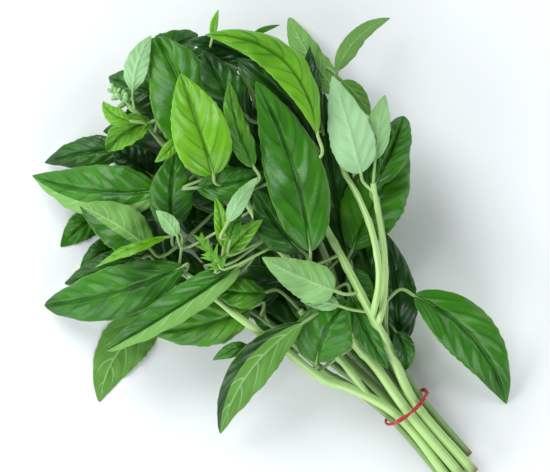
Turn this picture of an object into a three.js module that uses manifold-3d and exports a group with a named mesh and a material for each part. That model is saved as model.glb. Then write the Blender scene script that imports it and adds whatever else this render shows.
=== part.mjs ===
// A bunch of cut basil: ten leafy stems held by a thin rubber band, lying on its side.
// Millimetres, +Z up. The bunch lies along X: leaves toward -X, cut stem ends toward +X.
import * as THREE from 'three';
import { mergeVertices } from 'three/addons/utils/BufferGeometryUtils.js';
import Module from 'manifold-3d';

const wasm = await Module();
wasm.setup();

// Driving dimensions
const POINT = 0.56; // one picture point on the plan of the bunch
const TIE = [407, 408]; // picture point at the middle of the rubber band
const BUNCH_TURN = THREE.MathUtils.degToRad(48.6); // turns the plan so that the bunch lies along X
const BLADE = 0.7; // leaf thickness
const CLEARANCE = 0.35; // gap between separate pieces
const SLIVER = 0.1; // steps and slivers smaller than this are dropped
const OVERLAP = 0.002; // overlap of two pieces, in cubic millimetres, that is cut away again
const GROOVE = 0.15; // radius of the groove that parts two folds that touch along an edge
const LAYER_GAP = 3; // air between a leaf and what it lies on
const PRESS = 3.4; // how far the lowest leaves are pressed against the surface
const CELL = 3; // cell of the height map that leaves are laid on
const LEAF_FALL = 0.5; // steepest rise or fall of a laid leaf
const STEM_FALL = 0.3; // steepest rise or fall of a laid stem
const STATIONS = 8; // stretches along a leaf's midrib when it is laid
const PETIOLE = 0.95; // radius of a leaf stalk
const STALK_DEPTH = 0.09; // how far along the blade its stalk reaches
const NODE_PITCH = 17; // distance between leaf nodes on a stem
const FOOT_PITCH = 6; // distance between the places on a stem where a stalk can grow
const FOOT_BACK = 12; // how far behind its blade a stalk's foot is looked for
const STALK_RISE = 0.35; // steepest rise of a stalk, as a share of its length
const STALK_BEND = 12; // longest straight part of a stalk behind its blade
const STALK_LIFTS = [0, 4, -4, 8, -8, 13]; // ways for a stalk over or under other stems, in turn
const LAID_PITCH = 2.4; // distance between the points of a leaf that are noted in the height map
const AXIS_PITCH = 9; // distance between the points where a stem is lifted
const SHOOT_BARE = 0.25; // share of a shoot that carries no leaves
const FAN_OUT = -30; // where the stems begin to fan out
const FIRST_LEAF = -38; // where the stems begin to carry leaves
const ROD_PITCH = 22; // length of one stretch of a stem's rod
const BUDS = { count: 9, from: 0.955, size: 2.2, long: 1.25, out: 1.9, turn: 2.4 };
const UPRIGHT = new THREE.Vector3(0, 1, 0); // the way three's cylinders stand
const STIFF_LENGTH = 45; // stem length from the band that the leaves can't lift
const BAND = { across: 14.5, high: 12.7, centre: 14.9, radius: 1.15, slant: -2, sag: 3.5 };
const CROWN = { middle: [212, 192], across: 118, down: 128 }; // plan of the dense leafy part
const GREEN = { fresh: 0x6fae2a, mid: 0x3f8a2c, deep: 0x2c6b2e };
const RUBBER = 0xc8464b;

// Each stem: its cut end [x, y, z] from the middle of the band, its place [y, z] in the band and
// where it fans out behind it, its way on in picture points with the height, and its end radii.
const STEMS = {
  low_left: { cut: [50, -8.2, 2.35], tie: [-6.4, 8.3], fan: [-11.5, 6], way: [[330, 362, 5],
    [275, 310, 5], [210, 260, 5], [150, 218, 5], [105, 182, 4]], radii: [2.3, 1.2], green: 'deep' },
  low_middle: { cut: [54, -2.4, 2.55], tie: [-1.0, 7.1], fan: [-2, 6], way: [[345, 345, 5],
    [300, 285, 5], [255, 205, 5], [215, 135, 5], [190, 80, 4]], radii: [2.5, 1.2], green: 'deep' },
  low_right: { cut: [49, 2.9, 2.45], tie: [4.5, 7.6], fan: [8, 6], way: [[366, 334, 5],
    [345, 275, 5], [325, 195, 5], [312, 130, 5], [305, 75, 4]], radii: [2.4, 1.2], green: 'deep' },
  left: { cut: [47, -10.9, 7.6], tie: [-10.5, 14.0], fan: [-16, 14], way: [[325, 372, 14],
    [268, 322, 15], [200, 282, 15], [135, 258, 12]], radii: [2.2, 1.2], green: 'mid' },
  centre_left: { cut: [52, -5.6, 8.6], tie: [-5.0, 14.4], fan: [-6.5, 14.5], way: [[338, 350, 16],
    [285, 268, 20], [225, 200, 22], [165, 146, 22], [140, 116, 22], [112, 90, 22]],
    radii: [2.4, 1.1], green: 'mid' },
  centre_right: { cut: [32, 4.4, 11.5], tie: [1.2, 14.6], fan: [3, 15], way: [[356, 338, 17],
    [325, 255, 22], [290, 180, 26], [262, 115, 26], [240, 70, 24]], radii: [2.4, 1.2], green: 'mid' },
  right: { cut: [44, 8.8, 8.4], tie: [9.6, 14.6], fan: [15, 13.5], way: [[386, 335, 14],
    [385, 285, 13], [383, 240, 12], [376, 196, 10]], radii: [2.2, 1.2], green: 'mid' },
  top_left: { cut: [54, -9.6, 14.2], tie: [-6.8, 20.3], fan: [-17.2, 24], way: [[324, 380, 26],
    [285, 350, 30], [250, 325, 33], [209, 292, 36], [178, 268, 38]], radii: [2.6, 1.7], green: 'fresh' },
  top_middle: { cut: [51, -2.2, 15.2], tie: [-0.9, 22.3], fan: [2.3, 23.5], way: [[354, 342, 25],
    [346, 314, 28], [318, 288, 32], [280, 250, 38], [250, 208, 42], [230, 168, 44]],
    radii: [2.8, 1.5], green: 'fresh' },
  top_right: { cut: [53, 4.4, 14.2], tie: [5.3, 20.8], fan: [14.4, 26.5], way: [[374, 320, 33],
    [345, 264, 41], [322, 221, 44], [302, 184, 44]], radii: [2.8, 1.7], green: 'fresh' },
};

// Side shoots: the stem they grow from, their way, and their radii.
const SHOOTS = [
  { stem: 'top_right', way: [[377, 325, 33], [382, 305, 37], [384, 262, 42], [378, 218, 44],
    [372, 184, 45]], radii: [1.9, 1.3] },
  { stem: 'top_right', way: [[380, 312, 35], [378, 278, 40], [371, 232, 43], [356, 194, 43],
    [342, 168, 41], [334, 110, 38], [331, 84, 34]], radii: [1.9, 1.0] },
  { stem: 'top_left', way: [[368, 397, 22.5], [345, 365, 25], [320, 338, 27], [300, 310, 29]],
    radii: [2.0, 1.5] },
];

// The leaves from the surface up, in the order in which they lie on one another.
// Each has its name, its stem, base and tip in picture points, width in points, and its form:
// bow: sideways bend in points, arch: rise in the middle in mm, roll: turn about the midrib,
// fold and curl: angle of each half at the midrib and its further bend, [left, right] in degrees,
// twist: extra roll at the tip, belly: lower where the blade is broadest nearer its base,
// drawn: lower where its ends are rounder, root: picture point where its stalk grows,
// under: the pale underside shows, turned: part of the width that shows the other side,
// tone: 0 deep to 1 fresh green, hidden: in the shade of others, so its blade is plainer.
const LEAVES = [
  ['low_left'],
  ['low_middle'],
  ['low_right'],
  ['fill', 'low_left', 2],
  ['fill', 'low_middle', 1],
  ['fill', 'low_right', 1],
  ['spur', 'low_left', [112, 148], [80, 174], 22, { tone: 0.45 }],
  ['outer_top', 'low_left', [126, 150], [42, 162], 34, { bow: -3, arch: 8, curl: [-50, -35], tone: 0.2 }],
  ['hanging', 'low_left', [104, 209], [58, 247], 31, { bow: -2, tone: 0.5 }],
  ['bluish', 'low_left', [122, 244], [78, 270], 28, { bow: -3, tone: 0.3 }],
  ['backdrop', 'low_middle', [166, 96], [108, 76], 48, { bow: 2, tone: 0.15, hidden: true }],
  ['crest', 'low_middle', [146, 66], [198, 34], 38, { bow: 1, arch: 8, drawn: 0.6, tone: 0.3 }],
  ['crest_low', 'low_middle', [176, 92], [228, 48], 48, { bow: 1, arch: 6, tone: 0.15, hidden: true }],
  ['crest_back', 'low_middle', [186, 92], [242, 54], 46, { arch: 3, tone: 0.1, hidden: true }],
  ['nook', 'low_left', [152, 176], [112, 146], 36, { arch: 3, tone: 0.1, hidden: true }],
  ['shade_low', 'low_middle', [318, 348], [246, 300], 46, { arch: 4, tone: 0.12, hidden: true }],
  ['shade_core', 'low_middle', [338, 332], [278, 266], 42, { arch: 4, tone: 0.1, hidden: true }],
  ['shade_mid', 'low_right', [352, 335], [322, 240], 42, { arch: 4, tone: 0.1, hidden: true }],
  ['nook_low', 'low_left', [206, 280], [136, 250], 36, { arch: 3, tone: 0.1, hidden: true }],
  ['shade_right', 'low_right', [384, 330], [358, 230], 50, { arch: 4, tone: 0.12, hidden: true }],
  ['gap_right', 'low_right', [350, 262], [324, 92], 44, { bow: 5, arch: 6, tone: 0.15, hidden: true }],
  ['rib', 'low_left', [161, 312], [97, 404], 50, { bow: -13, arch: 6, curl: [-25, -35], under: true,
    tone: 0.1 }],
  ['big_right', 'right', [352, 250], [409, 146], 62, { bow: 4, arch: 7, belly: 0.85, tone: 0.45 }],
  ['lower_right', 'right', [398, 348], [386, 234], 44, { bow: -3, arch: 6, tone: 0.1 }],
  ['curled_right', 'right', [396, 332], [406, 371], 22, { bow: 4, fold: [30, 30], tone: 0.2 }],
  ['tall_right', 'low_right', [338, 92], [290, 15], 32, { bow: 5, arch: 8, roll: 20, drawn: 0.6,
    under: true, tone: 0.3 }],
  ['slim_dark', 'low_right', [318, 116], [310, 46], 20, { bow: 3, tone: 0.1 }],
  ['left'],
  ['centre_left'],
  ['centre_right'],
  ['right'],
  ['fill', 'left', 3],
  ['fill', 'centre_left', 3],
  ['fill', 'centre_right', 2],
  ['glossy_low', 'left', [250, 308], [150, 333], 48, { bow: 5, arch: 8, curl: [-45, -30], tone: 0.62 }],
  ['notched', 'left', [248, 345], [213, 360], 15, { bow: -2, tone: 0.3 }],
  ['edge_left', 'left', [140, 278], [91, 276], 24, { bow: 3, tone: 0.5 }],
  ['narrow_dark', 'left', [142, 258], [62, 284], 36, { bow: 1, arch: 6, tone: 0.2 }],
  ['outer_left', 'centre_left', [160, 190], [30, 175], 56, { bow: 9, arch: 9, curl: [-40, -30],
    turned: [0.45, 1], tone: 0.5 }],
  ['cupped', 'centre_left', [151, 123], [107, 152], 36, { bow: -5, arch: 6, fold: [25, 25],
    curl: [30, 30], tone: 0.75 }],
  ['behind', 'centre_left', [208, 150], [157, 37], 74, { bow: -2, arch: 12, fold: [12, 18],
    curl: [-20, -40], belly: 0.68, drawn: 0.65, wave: 3, tone: 0.5 }],
  ['under_crest', 'centre_right', [252, 64], [188, 43], 24, { bow: -5, tone: 0.1 }],
  ['shade_top', 'centre_right', [246, 116], [205, 52], 42, { bow: 4, tone: 0.1 }],
  ['tuft', 'centre_right', [213, 40], [219, 11], 8, { bow: 1, tone: 0.9 }],
  ['twig_leaf', 'centre_right', [252, 36], [280, 25], 6, { bow: 1, arch: 3, tone: 0.6 }],
  ['dark_behind', 'centre_right', [312, 142], [236, 60], 44, { bow: -7, arch: 6, tone: 0.1 }],
  ['bud_leaf', 'centre_left', [134, 92], [152, 37], 24, { bow: 4, arch: 6, under: true, tone: 0.8 }],
  ['rim', 'centre_left', [132, 122], [104, 102], 18, { bow: 5, tone: 0.8 }],
  ['pale_left', 'centre_left', [150, 248], [80, 205], 46, { bow: -3, arch: 8, fold: [20, 12],
    turned: [0.3, 1], under: true, tone: 0.3 }],
  ['middle_dark', 'centre_left', [173, 230], [177, 152], 44, { bow: 3, arch: 6, tone: 0.3 }],
  ['side_right', 'right', [374, 186], [404, 116], 38, { bow: -1, arch: 6, belly: 1, drawn: 0.6,
    tone: 0.35 }],
  ['low_tuft', 'low_right', [342, 81], [371, 116], 20, { bow: 2, under: true, tone: 0.1 }],
  ['top_left'],
  ['top_middle'],
  ['inner_tail', 'top_middle', [352, 268], [374, 310], 26, { bow: -2, tone: 0.4 }],
  ['right_tail', 'top_middle', [350, 293], [388, 369], 26, { bow: -3, fold: [30, 30], tone: 0.45 }],
  ['top_right'],
  ['grey_low', 'top_left', [266, 292], [210, 285], 30, { bow: 4, tone: 0.5 }],
  ['wavy_dark', 'top_middle', [198, 188], [268, 173], 34, { bow: -3, wave: 3, tone: 0.4 }],
  ['round_mid', 'top_middle', [316, 362], [348, 300], 60, { bow: 6, arch: 8, tone: 0.42 }],
  ['sharp_left', 'top_left', [184, 266], [42, 306], 54, { bow: 7, arch: 10, fold: [14, 10],
    curl: [-40, -40], belly: 0.95, drawn: 0.62, tone: 0.4 }],
  ['long_low', 'top_middle', [303, 322], [220, 435], 41, { bow: -14, arch: 9, roll: -12, belly: 0.9,
    under: true, turned: [-1, -0.45], tone: 0.08 }],
  ['folded_left', 'top_left', [240, 266], [106, 351], 38, { bow: 2, arch: 8, fold: [30, 8],
    curl: [20, -20], drawn: 0.65, turned: [0.05, 1], tone: 0.35 }],
  ['edge_on', 'top_left', [168, 237], [96, 267], 20, { bow: -3, roll: 58, tone: 0.9 }],
  ['second_blue', 'top_middle', [300, 250], [256, 190], 42, { bow: 4, arch: 6, tone: 0.2 }],
  ['right_jag', 'top_right', [337, 72], [391, 17], 21, { bow: 9, arch: 8, roll: 25, under: true,
    tone: 0.3 }],
  ['central_blue', 'top_right', [310, 252], [256, 83], 60, { bow: -9, arch: 10, fold: [12, 12],
    curl: [-25, -25], tone: 0.4 }],
  ['small_pale', 'top_right', [338, 305], [300, 300], 18, { bow: -2, under: true, tone: 0.7 }],
  ['tongue', 'top_right', [334, 290], [262, 257], 40, { bow: 2, arch: 7, fold: [8, 8], belly: 0.55,
    under: true, tone: 0.6 }],
  ['hooked', 'top_middle', [254, 168], [230, 83], 28, { bow: 5, arch: 10, roll: 30, tone: 0.6 }],
  ['pale_slim', 'top_right', [374, 160], [385, 95], 26, { bow: 2, arch: 7, under: true, tone: 0.7 }],
  ['pale_tall', 'top_right', [360, 174], [332, 77], 46, { bow: -1, arch: 9, fold: [8, 8], belly: 0.62,
    under: true, tone: 1 }],
  ['bright_mid', 'top_middle', [226, 257], [263, 220], 20, { bow: 3, tone: 0.85 }],
  ['narrow_mid', 'top_middle', [224, 247], [216, 197], 15, { bow: -2, fold: [25, 25], tone: 0.85 }],
  ['dull_mid', 'top_middle', [231, 240], [242, 212], 15, { bow: 2, tone: 0.5 }],
  ['torn_mid', 'top_middle', [229, 222], [258, 178], 17, { bow: 2, under: true, tone: 0.8 }],
  ['small_left', 'top_middle', [178, 236], [157, 211], 17, { bow: -2, under: true, tone: 0.8 }],
  ['small_bright', 'top_middle', [178, 140], [156, 163], 14, { bow: 2, roll: -20, tone: 0.9 }],
  ['upright', 'top_middle', [214, 175], [181, 75], 58, { bow: -1, arch: 12, fold: [22, 22],
    curl: [-20, -20], belly: 0.66, tone: 0.88 }],
  ['arching', 'top_middle', [317, 136], [206, 37], 41, { bow: -32, arch: 14, roll: 18, fold: [16, 6],
    curl: [-30, -50], belly: 0.95, tone: 0.82 }],
  ['lone_right', 'top_right', [413, 295], [509, 406], 54, { bow: 17, arch: 9, fold: [16, 14],
    curl: [-30, -25], belly: 0.8, root: [384, 313], tone: 0.45 }],
];

const leafForm = { spare: 0, bow: 0, arch: 5, roll: 0, twist: 0, fold: [12, 12], curl: [-30, -30],
  wave: 1.2, belly: 0.74, drawn: 0.8, under: false, tone: 0.4 };

// Draws between 0 and 1 that are the same every time
let seed = 20261;
function draw() {
  seed = (seed * 16807) % 2147483647;
  return seed / 2147483647;
}

// A picture point as a place on the plan of the bunch
function plan([px, py]) {
  const x = (px - TIE[0]) * POINT;
  const y = -(py - TIE[1]) * POINT;
  const cos = Math.cos(BUNCH_TURN);
  const sin = Math.sin(BUNCH_TURN);
  return new THREE.Vector2(x * cos - y * sin, x * sin + y * cos);
}

// Heights of what already lies in the bunch, by cell of the plan
const heap = new Map();
function cellOf(value) {
  return Math.round(value / CELL);
}
function heapAt(x, y) {
  let top = -PRESS - LAYER_GAP;
  for (let i = -1; i <= 1; i += 1) {
    for (let j = -1; j <= 1; j += 1) {
      const level = heap.get(`${cellOf(x) + i},${cellOf(y) + j}`);
      if (level > top) top = level;
    }
  }
  return top;
}
function cover(x, y, z) {
  const key = `${cellOf(x)},${cellOf(y)}`;
  const level = heap.get(key);
  if (level === undefined || z > level) heap.set(key, z);
}

// Holds a row of heights to the given fall between neighbours, raising the lower ones, then evens it
function easeHeights(heights, fall) {
  const last = heights.length - 1;
  for (let i = 1; i <= last; i += 1) heights[i] = Math.max(heights[i], heights[i - 1] - fall);
  for (let i = last - 1; i >= 0; i -= 1) heights[i] = Math.max(heights[i], heights[i + 1] - fall);
  const before = heights.slice();
  for (let i = 1; i < last; i += 1) heights[i] = (before[i - 1] + 2 * before[i] + before[i + 1]) / 4;
}

// Half of a blade's width at share s of its length: broad below the middle, drawn out to the tip
function halfWidth(leaf, s) {
  const share = Math.sin(Math.PI * Math.min(Math.max(s, 0), 1) ** leaf.belly);
  return Math.max(0.6, 0.5 * leaf.width * share ** leaf.drawn) + leaf.spare;
}

// Height of a laid leaf at share s of its length, smooth through the heights at its stations
function laidHeight(leaf, s) {
  const place = Math.min(Math.max(s, 0), 1) * STATIONS;
  const i = Math.min(Math.floor(place), STATIONS - 1);
  const at = (k) => leaf.heights[Math.min(Math.max(k, 0), STATIONS)];
  const part = place - i;
  const slopeIn = (at(i + 1) - at(i - 1)) / 2;
  const slopeOut = (at(i + 2) - at(i)) / 2;
  const square = part * part;
  const cube = square * part;
  return (2 * cube - 3 * square + 1) * at(i) + (cube - 2 * square + part) * slopeIn
    + (3 * square - 2 * cube) * at(i + 1) + (cube - square) * slopeOut;
}

// The midrib's point at share s of the leaf's length
function midrib(leaf, s) {
  const { base, control, tip } = leaf;
  const a = (1 - s) * (1 - s);
  const b = 2 * s * (1 - s);
  const c = s * s;
  const z = laidHeight(leaf, s) + 4 * leaf.arch * s * (1 - s);
  const x = a * base.x + b * control.x + c * tip.x;
  const y = a * base.y + b * control.y + c * tip.y;
  return new THREE.Vector3(x, y, z);
}

// The blade's middle surface at share s of the length and v across it, from -1 (right) to 1 (left)
function bladePoint(leaf, s, v) {
  const step = 0.02;
  const along = midrib(leaf, s + step).sub(midrib(leaf, s - step)).normalize();
  const left = new THREE.Vector3(-along.y, along.x, 0).normalize();
  const up = new THREE.Vector3().crossVectors(along, left);
  const roll = THREE.MathUtils.degToRad(leaf.roll + leaf.twist * s);
  const side = v > 0 ? 0 : 1;
  const fold = THREE.MathUtils.degToRad(leaf.fold[side]);
  const curl = THREE.MathUtils.degToRad(leaf.curl[side]);
  const half = halfWidth(leaf, s);
  const reach = Math.abs(v);
  const outward = (half / curl) * (Math.sin(fold + curl * reach) - Math.sin(fold));
  let rise = (half / curl) * (Math.cos(fold) - Math.cos(fold + curl * reach));
  rise += leaf.wave * Math.sin(9 * s + leaf.phase + (v > 0 ? 0 : 2)) * reach * reach * (half / (half + 6));
  const across = Math.sign(v) * outward;
  const point = midrib(leaf, s);
  point.addScaledVector(left, across * Math.cos(roll) - rise * Math.sin(roll));
  point.addScaledVector(up, across * Math.sin(roll) + rise * Math.cos(roll));
  return point;
}

function bladeNormal(leaf, s, v) {
  const along = bladePoint(leaf, s + 0.03, v).sub(bladePoint(leaf, s - 0.03, v));
  const across = bladePoint(leaf, s, v + 0.1).sub(bladePoint(leaf, s, v - 0.1));
  return along.cross(across).normalize();
}

function makeLeaf([name, stem, base, tip, width, form], index) {
  const leaf = { ...leafForm, ...form, name, stem, width: width * POINT, phase: index * 1.7 };
  leaf.base = plan(base);
  leaf.tip = plan(tip);
  const way = leaf.tip.clone().sub(leaf.base);
  leaf.length = way.length();
  const bow = new THREE.Vector2(-way.y, way.x).normalize().multiplyScalar(2 * leaf.bow * POINT);
  leaf.control = leaf.base.clone().add(leaf.tip).multiplyScalar(0.5).add(bow);
  leaf.heights = new Array(STATIONS + 1).fill(0);
  return leaf;
}

// Lays a leaf on the heap, hung from its stem if that is already in place
function layLeaf(leaf, stems) {
  const needs = [];
  for (let i = 0; i <= STATIONS; i += 1) {
    const s = i / STATIONS;
    let need = -PRESS;
    for (let v = -1; v <= 1; v += 0.25) {
      const point = bladePoint(leaf, s, v);
      need = Math.max(need, heapAt(point.x, point.y) + LAYER_GAP - point.z);
    }
    needs.push(need);
  }
  const stem = stems[leaf.stem];
  leaf.foot = nearestFoot(stem, leaf);
  if (stem.laid) needs[0] = Math.max(needs[0], leaf.foot.z - STALK_RISE * leaf.foot.stalk);
  easeHeights(needs, (LEAF_FALL * leaf.length) / STATIONS);
  leaf.heights = needs;
  const rows = Math.ceil(leaf.length / LAID_PITCH);
  const columns = Math.ceil(leaf.width / LAID_PITCH);
  for (let i = 0; i <= rows; i += 1) {
    for (let j = 0; j <= columns; j += 1) {
      const point = bladePoint(leaf, i / rows, (2 * j) / columns - 1);
      cover(point.x, point.y, point.z);
    }
  }
}

// The place, on the stem or one of its shoots, that a leaf's stalk most likely grows from
function nearestFoot(stem, leaf) {
  const back = leaf.base.clone().sub(leaf.control).normalize().multiplyScalar(FOOT_BACK);
  const aim = leaf.root ? plan(leaf.root) : leaf.base.clone().add(back);
  let best = null;
  for (const axis of stem.axes) {
    const count = Math.ceil((axis.length * (1 - axis.free)) / FOOT_PITCH);
    for (let i = 0; i <= count; i += 1) {
      const share = axis.free + ((1 - axis.free) * 0.99 * i) / count;
      const node = axis.curve.getPoint(share);
      const away = Math.hypot(node.x - aim.x, node.y - aim.y);
      if (!best || away < best.away) best = { away, axis, share };
    }
  }
  const point = best.axis.curve.getPoint(best.share);
  const stalk = Math.hypot(point.x - leaf.base.x, point.y - leaf.base.y);
  return { axis: best.axis, share: best.share, z: point.z, stalk };
}

// A stem or shoot: a curve through its way, with the radii at both ends and its leaf nodes
function makeAxis(points, radii, free) {
  const axis = { points, radii, free };
  axis.curve = new THREE.CatmullRomCurve3(points, false, 'centripetal');
  axis.length = axis.curve.getLength();
  axis.nodes = [];
  const count = Math.max(1, Math.round((axis.length * (1 - free)) / NODE_PITCH));
  for (let i = 0; i <= count; i += 1) {
    const share = free + ((1 - free) * i) / count - (i === count ? 0.01 : 0);
    const point = axis.curve.getPoint(share);
    axis.nodes.push({ share, x: point.x, y: point.y });
  }
  return axis;
}

function wayPoints(way) {
  return way.map(([px, py, z]) => {
    const place = plan([px, py]);
    return new THREE.Vector3(place.x, place.y, z);
  });
}

// Lays an axis on the heap: it is lifted smoothly over what it crosses, except near the band
function layAxis(axis, radius) {
  const curve = axis.curve;
  const count = Math.ceil(axis.length / AXIS_PITCH);
  const points = [];
  const lifts = [];
  for (let i = 0; i <= count; i += 1) {
    const point = curve.getPoint(i / count);
    const clear = heapAt(point.x, point.y) + LAYER_GAP + radius - point.z;
    const loose = THREE.MathUtils.smoothstep(-point.x, STIFF_LENGTH * 0.4, STIFF_LENGTH * 1.6);
    points.push(point);
    lifts.push(Math.max(0, clear) * loose);
  }
  easeHeights(lifts, (STEM_FALL * axis.length) / count);
  points.forEach((point, i) => {
    const loose = THREE.MathUtils.smoothstep(-point.x, STIFF_LENGTH * 0.2, STIFF_LENGTH * 1.2);
    point.z += lifts[i] * loose;
  });
  const laid = makeAxis(points, axis.radii, axis.free);
  for (let i = 0; i <= 6 * count; i += 1) {
    const point = laid.curve.getPoint(i / (6 * count));
    cover(point.x, point.y, point.z + radius);
  }
  return laid;
}

function layStem(name, stems) {
  const stem = stems[name];
  const reach = STEMS[name].radii[0];
  stem.axes = [layAxis(stem.axes[0], reach)];
  stem.laid = true;
  for (const shoot of SHOOTS.filter((entry) => entry.stem === name)) {
    const points = wayPoints(shoot.way);
    const start = nearestPoint(stem.axes[0].curve, points[0]);
    const shift = start.z - points[0].z;
    points.forEach((point, i) => { point.z += shift * (1 - i / points.length); });
    points[0].copy(start);
    const axis = layAxis(makeAxis(points, shoot.radii, SHOOT_BARE), shoot.radii[0]);
    axis.points[0].copy(start);
    stem.axes.push(makeAxis(axis.points, shoot.radii, SHOOT_BARE));
  }
}

function nearestPoint(curve, aim) {
  let best = null;
  for (let i = 0; i <= 200; i += 1) {
    const point = curve.getPoint(i / 200);
    const away = Math.hypot(point.x - aim.x, point.y - aim.y);
    if (!best || away < best.away) best = { away, point };
  }
  return best.point.clone();
}

// Leaves hidden in the bunch: pairs at a stem's nodes, inside the crown, at drawn angles
function fillLeaves(name, every, stems) {
  const leaves = [];
  const axis = stems[name].axes[0];
  const centre = plan(CROWN.middle);
  axis.nodes.forEach((node, i) => {
    if (i < 3 || i % every > 0) return;
    for (const side of [-1, 1]) {
      const tangent = axis.curve.getTangent(node.share);
      const heading = Math.atan2(tangent.y, tangent.x) + side * (0.6 + 0.7 * draw());
      const length = 42 + 16 * draw();
      const stalk = 7;
      const base = [node.x + stalk * Math.cos(heading), node.y + stalk * Math.sin(heading)];
      const tip = [base[0] + length * Math.cos(heading), base[1] + length * Math.sin(heading)];
      const out = Math.hypot((tip[0] - centre.x) / CROWN.down, (tip[1] - centre.y) / CROWN.across);
      if (out > POINT) continue;
      const form = { tone: 0.1, hidden: true };
      const leaf = makeLeaf([`fill_${name}_${i}`, name, TIE, TIE, (length * 0.5) / POINT, form], i);
      leaf.base.set(...base);
      leaf.tip.set(...tip);
      leaf.control.set((base[0] + tip[0]) / 2, (base[1] + tip[1]) / 2);
      leaf.length = length;
      leaves.push(leaf);
    }
  });
  return leaves;
}

// Lays up the whole bunch and returns its stems and leaves
function layBunch() {
  const stems = {};
  for (const [name, { cut, tie, fan, way, radii }] of Object.entries(STEMS)) {
    const bundle = [cut, [0, ...tie], [FAN_OUT, ...fan]];
    const points = [...bundle.map((spot) => new THREE.Vector3(...spot)), ...wayPoints(way)];
    const whole = makeAxis(points, radii, 0);
    const free = Math.min(0.6, nearestShare(whole.curve, FIRST_LEAF));
    stems[name] = { axes: [makeAxis(points, radii, free)], laid: false };
  }
  const leaves = [];
  LEAVES.forEach((entry, index) => {
    if (entry.length === 1) {
      layStem(entry[0], stems);
      return;
    }
    const added = entry[0] === 'fill' ? fillLeaves(entry[1], entry[2], stems) : [makeLeaf(entry, index)];
    for (const leaf of added) {
      layLeaf(leaf, stems);
      leaves.push(leaf);
    }
  });
  return { stems, leaves };
}

// Share of a curve's length at which it first lies beyond the given x
function nearestShare(curve, x) {
  for (let i = 0; i <= 100; i += 1) {
    if (curve.getPoint(i / 100).x < x) return i / 100;
  }
  return 1;
}

function solidOf(geometry) {
  const bare = geometry.clone();
  bare.deleteAttribute('normal');
  bare.deleteAttribute('uv');
  const merged = mergeVertices(bare, 1e-4);
  return new wasm.Manifold(new wasm.Mesh({
    numProp: 3,
    vertProperties: new Float32Array(merged.attributes.position.array),
    triVerts: new Uint32Array(merged.index.array),
  }));
}

// A round rod along a curve, with the radius given by a function of the share of its length
function rod(curve, radiusAt, sides, rings) {
  const geometry = new THREE.CylinderGeometry(1, 1, 1, sides, rings);
  const places = geometry.attributes.position;
  for (let i = 0; i < places.count; i += 1) {
    const share = Math.min(1, Math.max(0, places.getY(i) + 0.5));
    const centre = curve.getPoint(share);
    const along = curve.getTangent(share);
    const left = new THREE.Vector3(-along.y, along.x, 0).normalize();
    const up = new THREE.Vector3().crossVectors(along, left);
    const radius = radiusAt(share);
    centre.addScaledVector(left, radius * places.getX(i)).addScaledVector(up, -radius * places.getZ(i));
    places.setXYZ(i, centre.x, centre.y, centre.z);
  }
  return solidOf(geometry);
}

// A leaf blade: one grid for the upper face, the same grid turned over for the lower, and a rim
function blade(leaf, thickness) {
  const rows = leaf.length > 46 && !leaf.hidden ? 5 : 4;
  const columns = leaf.hidden || leaf.width < 15.8 ? 2 : 4;
  const grid = new THREE.PlaneGeometry(1, 1, columns, rows);
  const count = grid.attributes.position.count;
  const places = new Float32Array(count * 6);
  for (let i = 0; i < count; i += 1) {
    const s = grid.attributes.position.getY(i) + 0.5;
    const v = -2 * grid.attributes.position.getX(i);
    const point = bladePoint(leaf, s, v);
    const even = Math.min(1, halfWidth(leaf, s) / 4);
    const normal = bladeNormal(leaf, s, v).lerp(bladeNormal(leaf, s, 0), 1 - even).normalize();
    const pressed = point.z < BLADE;
    if (pressed) normal.set(0, 0, 1);
    if (pressed) point.z = BLADE / 2;
    const top = point.clone().addScaledVector(normal, thickness / 2);
    const bottom = point.clone().addScaledVector(normal, -thickness / 2);
    places.set(top.toArray(), 3 * i);
    places.set(bottom.toArray(), 3 * (count + i));
  }
  const index = Array.from(grid.index.array);
  const faces = index.slice();
  for (let i = 0; i < index.length; i += 3) {
    faces.push(index[i] + count, index[i + 2] + count, index[i + 1] + count);
  }
  const wide = columns + 1;
  const edge = [];
  for (let i = 0; i < columns; i += 1) edge.push(rows * wide + i);
  for (let i = rows; i > 0; i -= 1) edge.push(i * wide + columns);
  for (let i = columns; i > 0; i -= 1) edge.push(i);
  for (let i = 0; i < rows; i += 1) edge.push(i * wide);
  edge.forEach((from, i) => {
    const to = edge[(i + 1) % edge.length];
    faces.push(from + count, to + count, to, from + count, to, from);
  });
  const geometry = new THREE.BufferGeometry();
  geometry.setAttribute('position', new THREE.BufferAttribute(places, 3));
  geometry.setIndex(faces);
  return solidOf(geometry);
}

// A leaf's stalk: from the middle of its stem to a little way up the back of the midrib
function stalk(leaf, extra, lift) {
  const from = leaf.foot.axis.curve.getPoint(leaf.foot.share);
  const base = midrib(leaf, 0);
  const end = midrib(leaf, STALK_DEPTH);
  end.z = Math.max(end.z - 0.4, PETIOLE + 0.1);
  base.z = Math.max(base.z - 0.3, PETIOLE + 0.1);
  const back = base.clone().sub(end).setLength(Math.min(STALK_BEND, from.distanceTo(base) * 0.4));
  const bend = base.clone().add(back);
  bend.z = Math.max(bend.z + lift, PETIOLE + 0.6);
  const curve = new THREE.CatmullRomCurve3([from, bend, base, end], false, 'centripetal');
  return rod(curve, (share) => PETIOLE * (share > 0.9 ? 0.6 : 1) + extra, 3, 3);
}

function boxesMeet(a, b) {
  const first = a.boundingBox();
  const second = b.boundingBox();
  return [0, 1, 2].every((k) => first.min[k] < second.max[k] && second.min[k] < first.max[k]);
}

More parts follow.
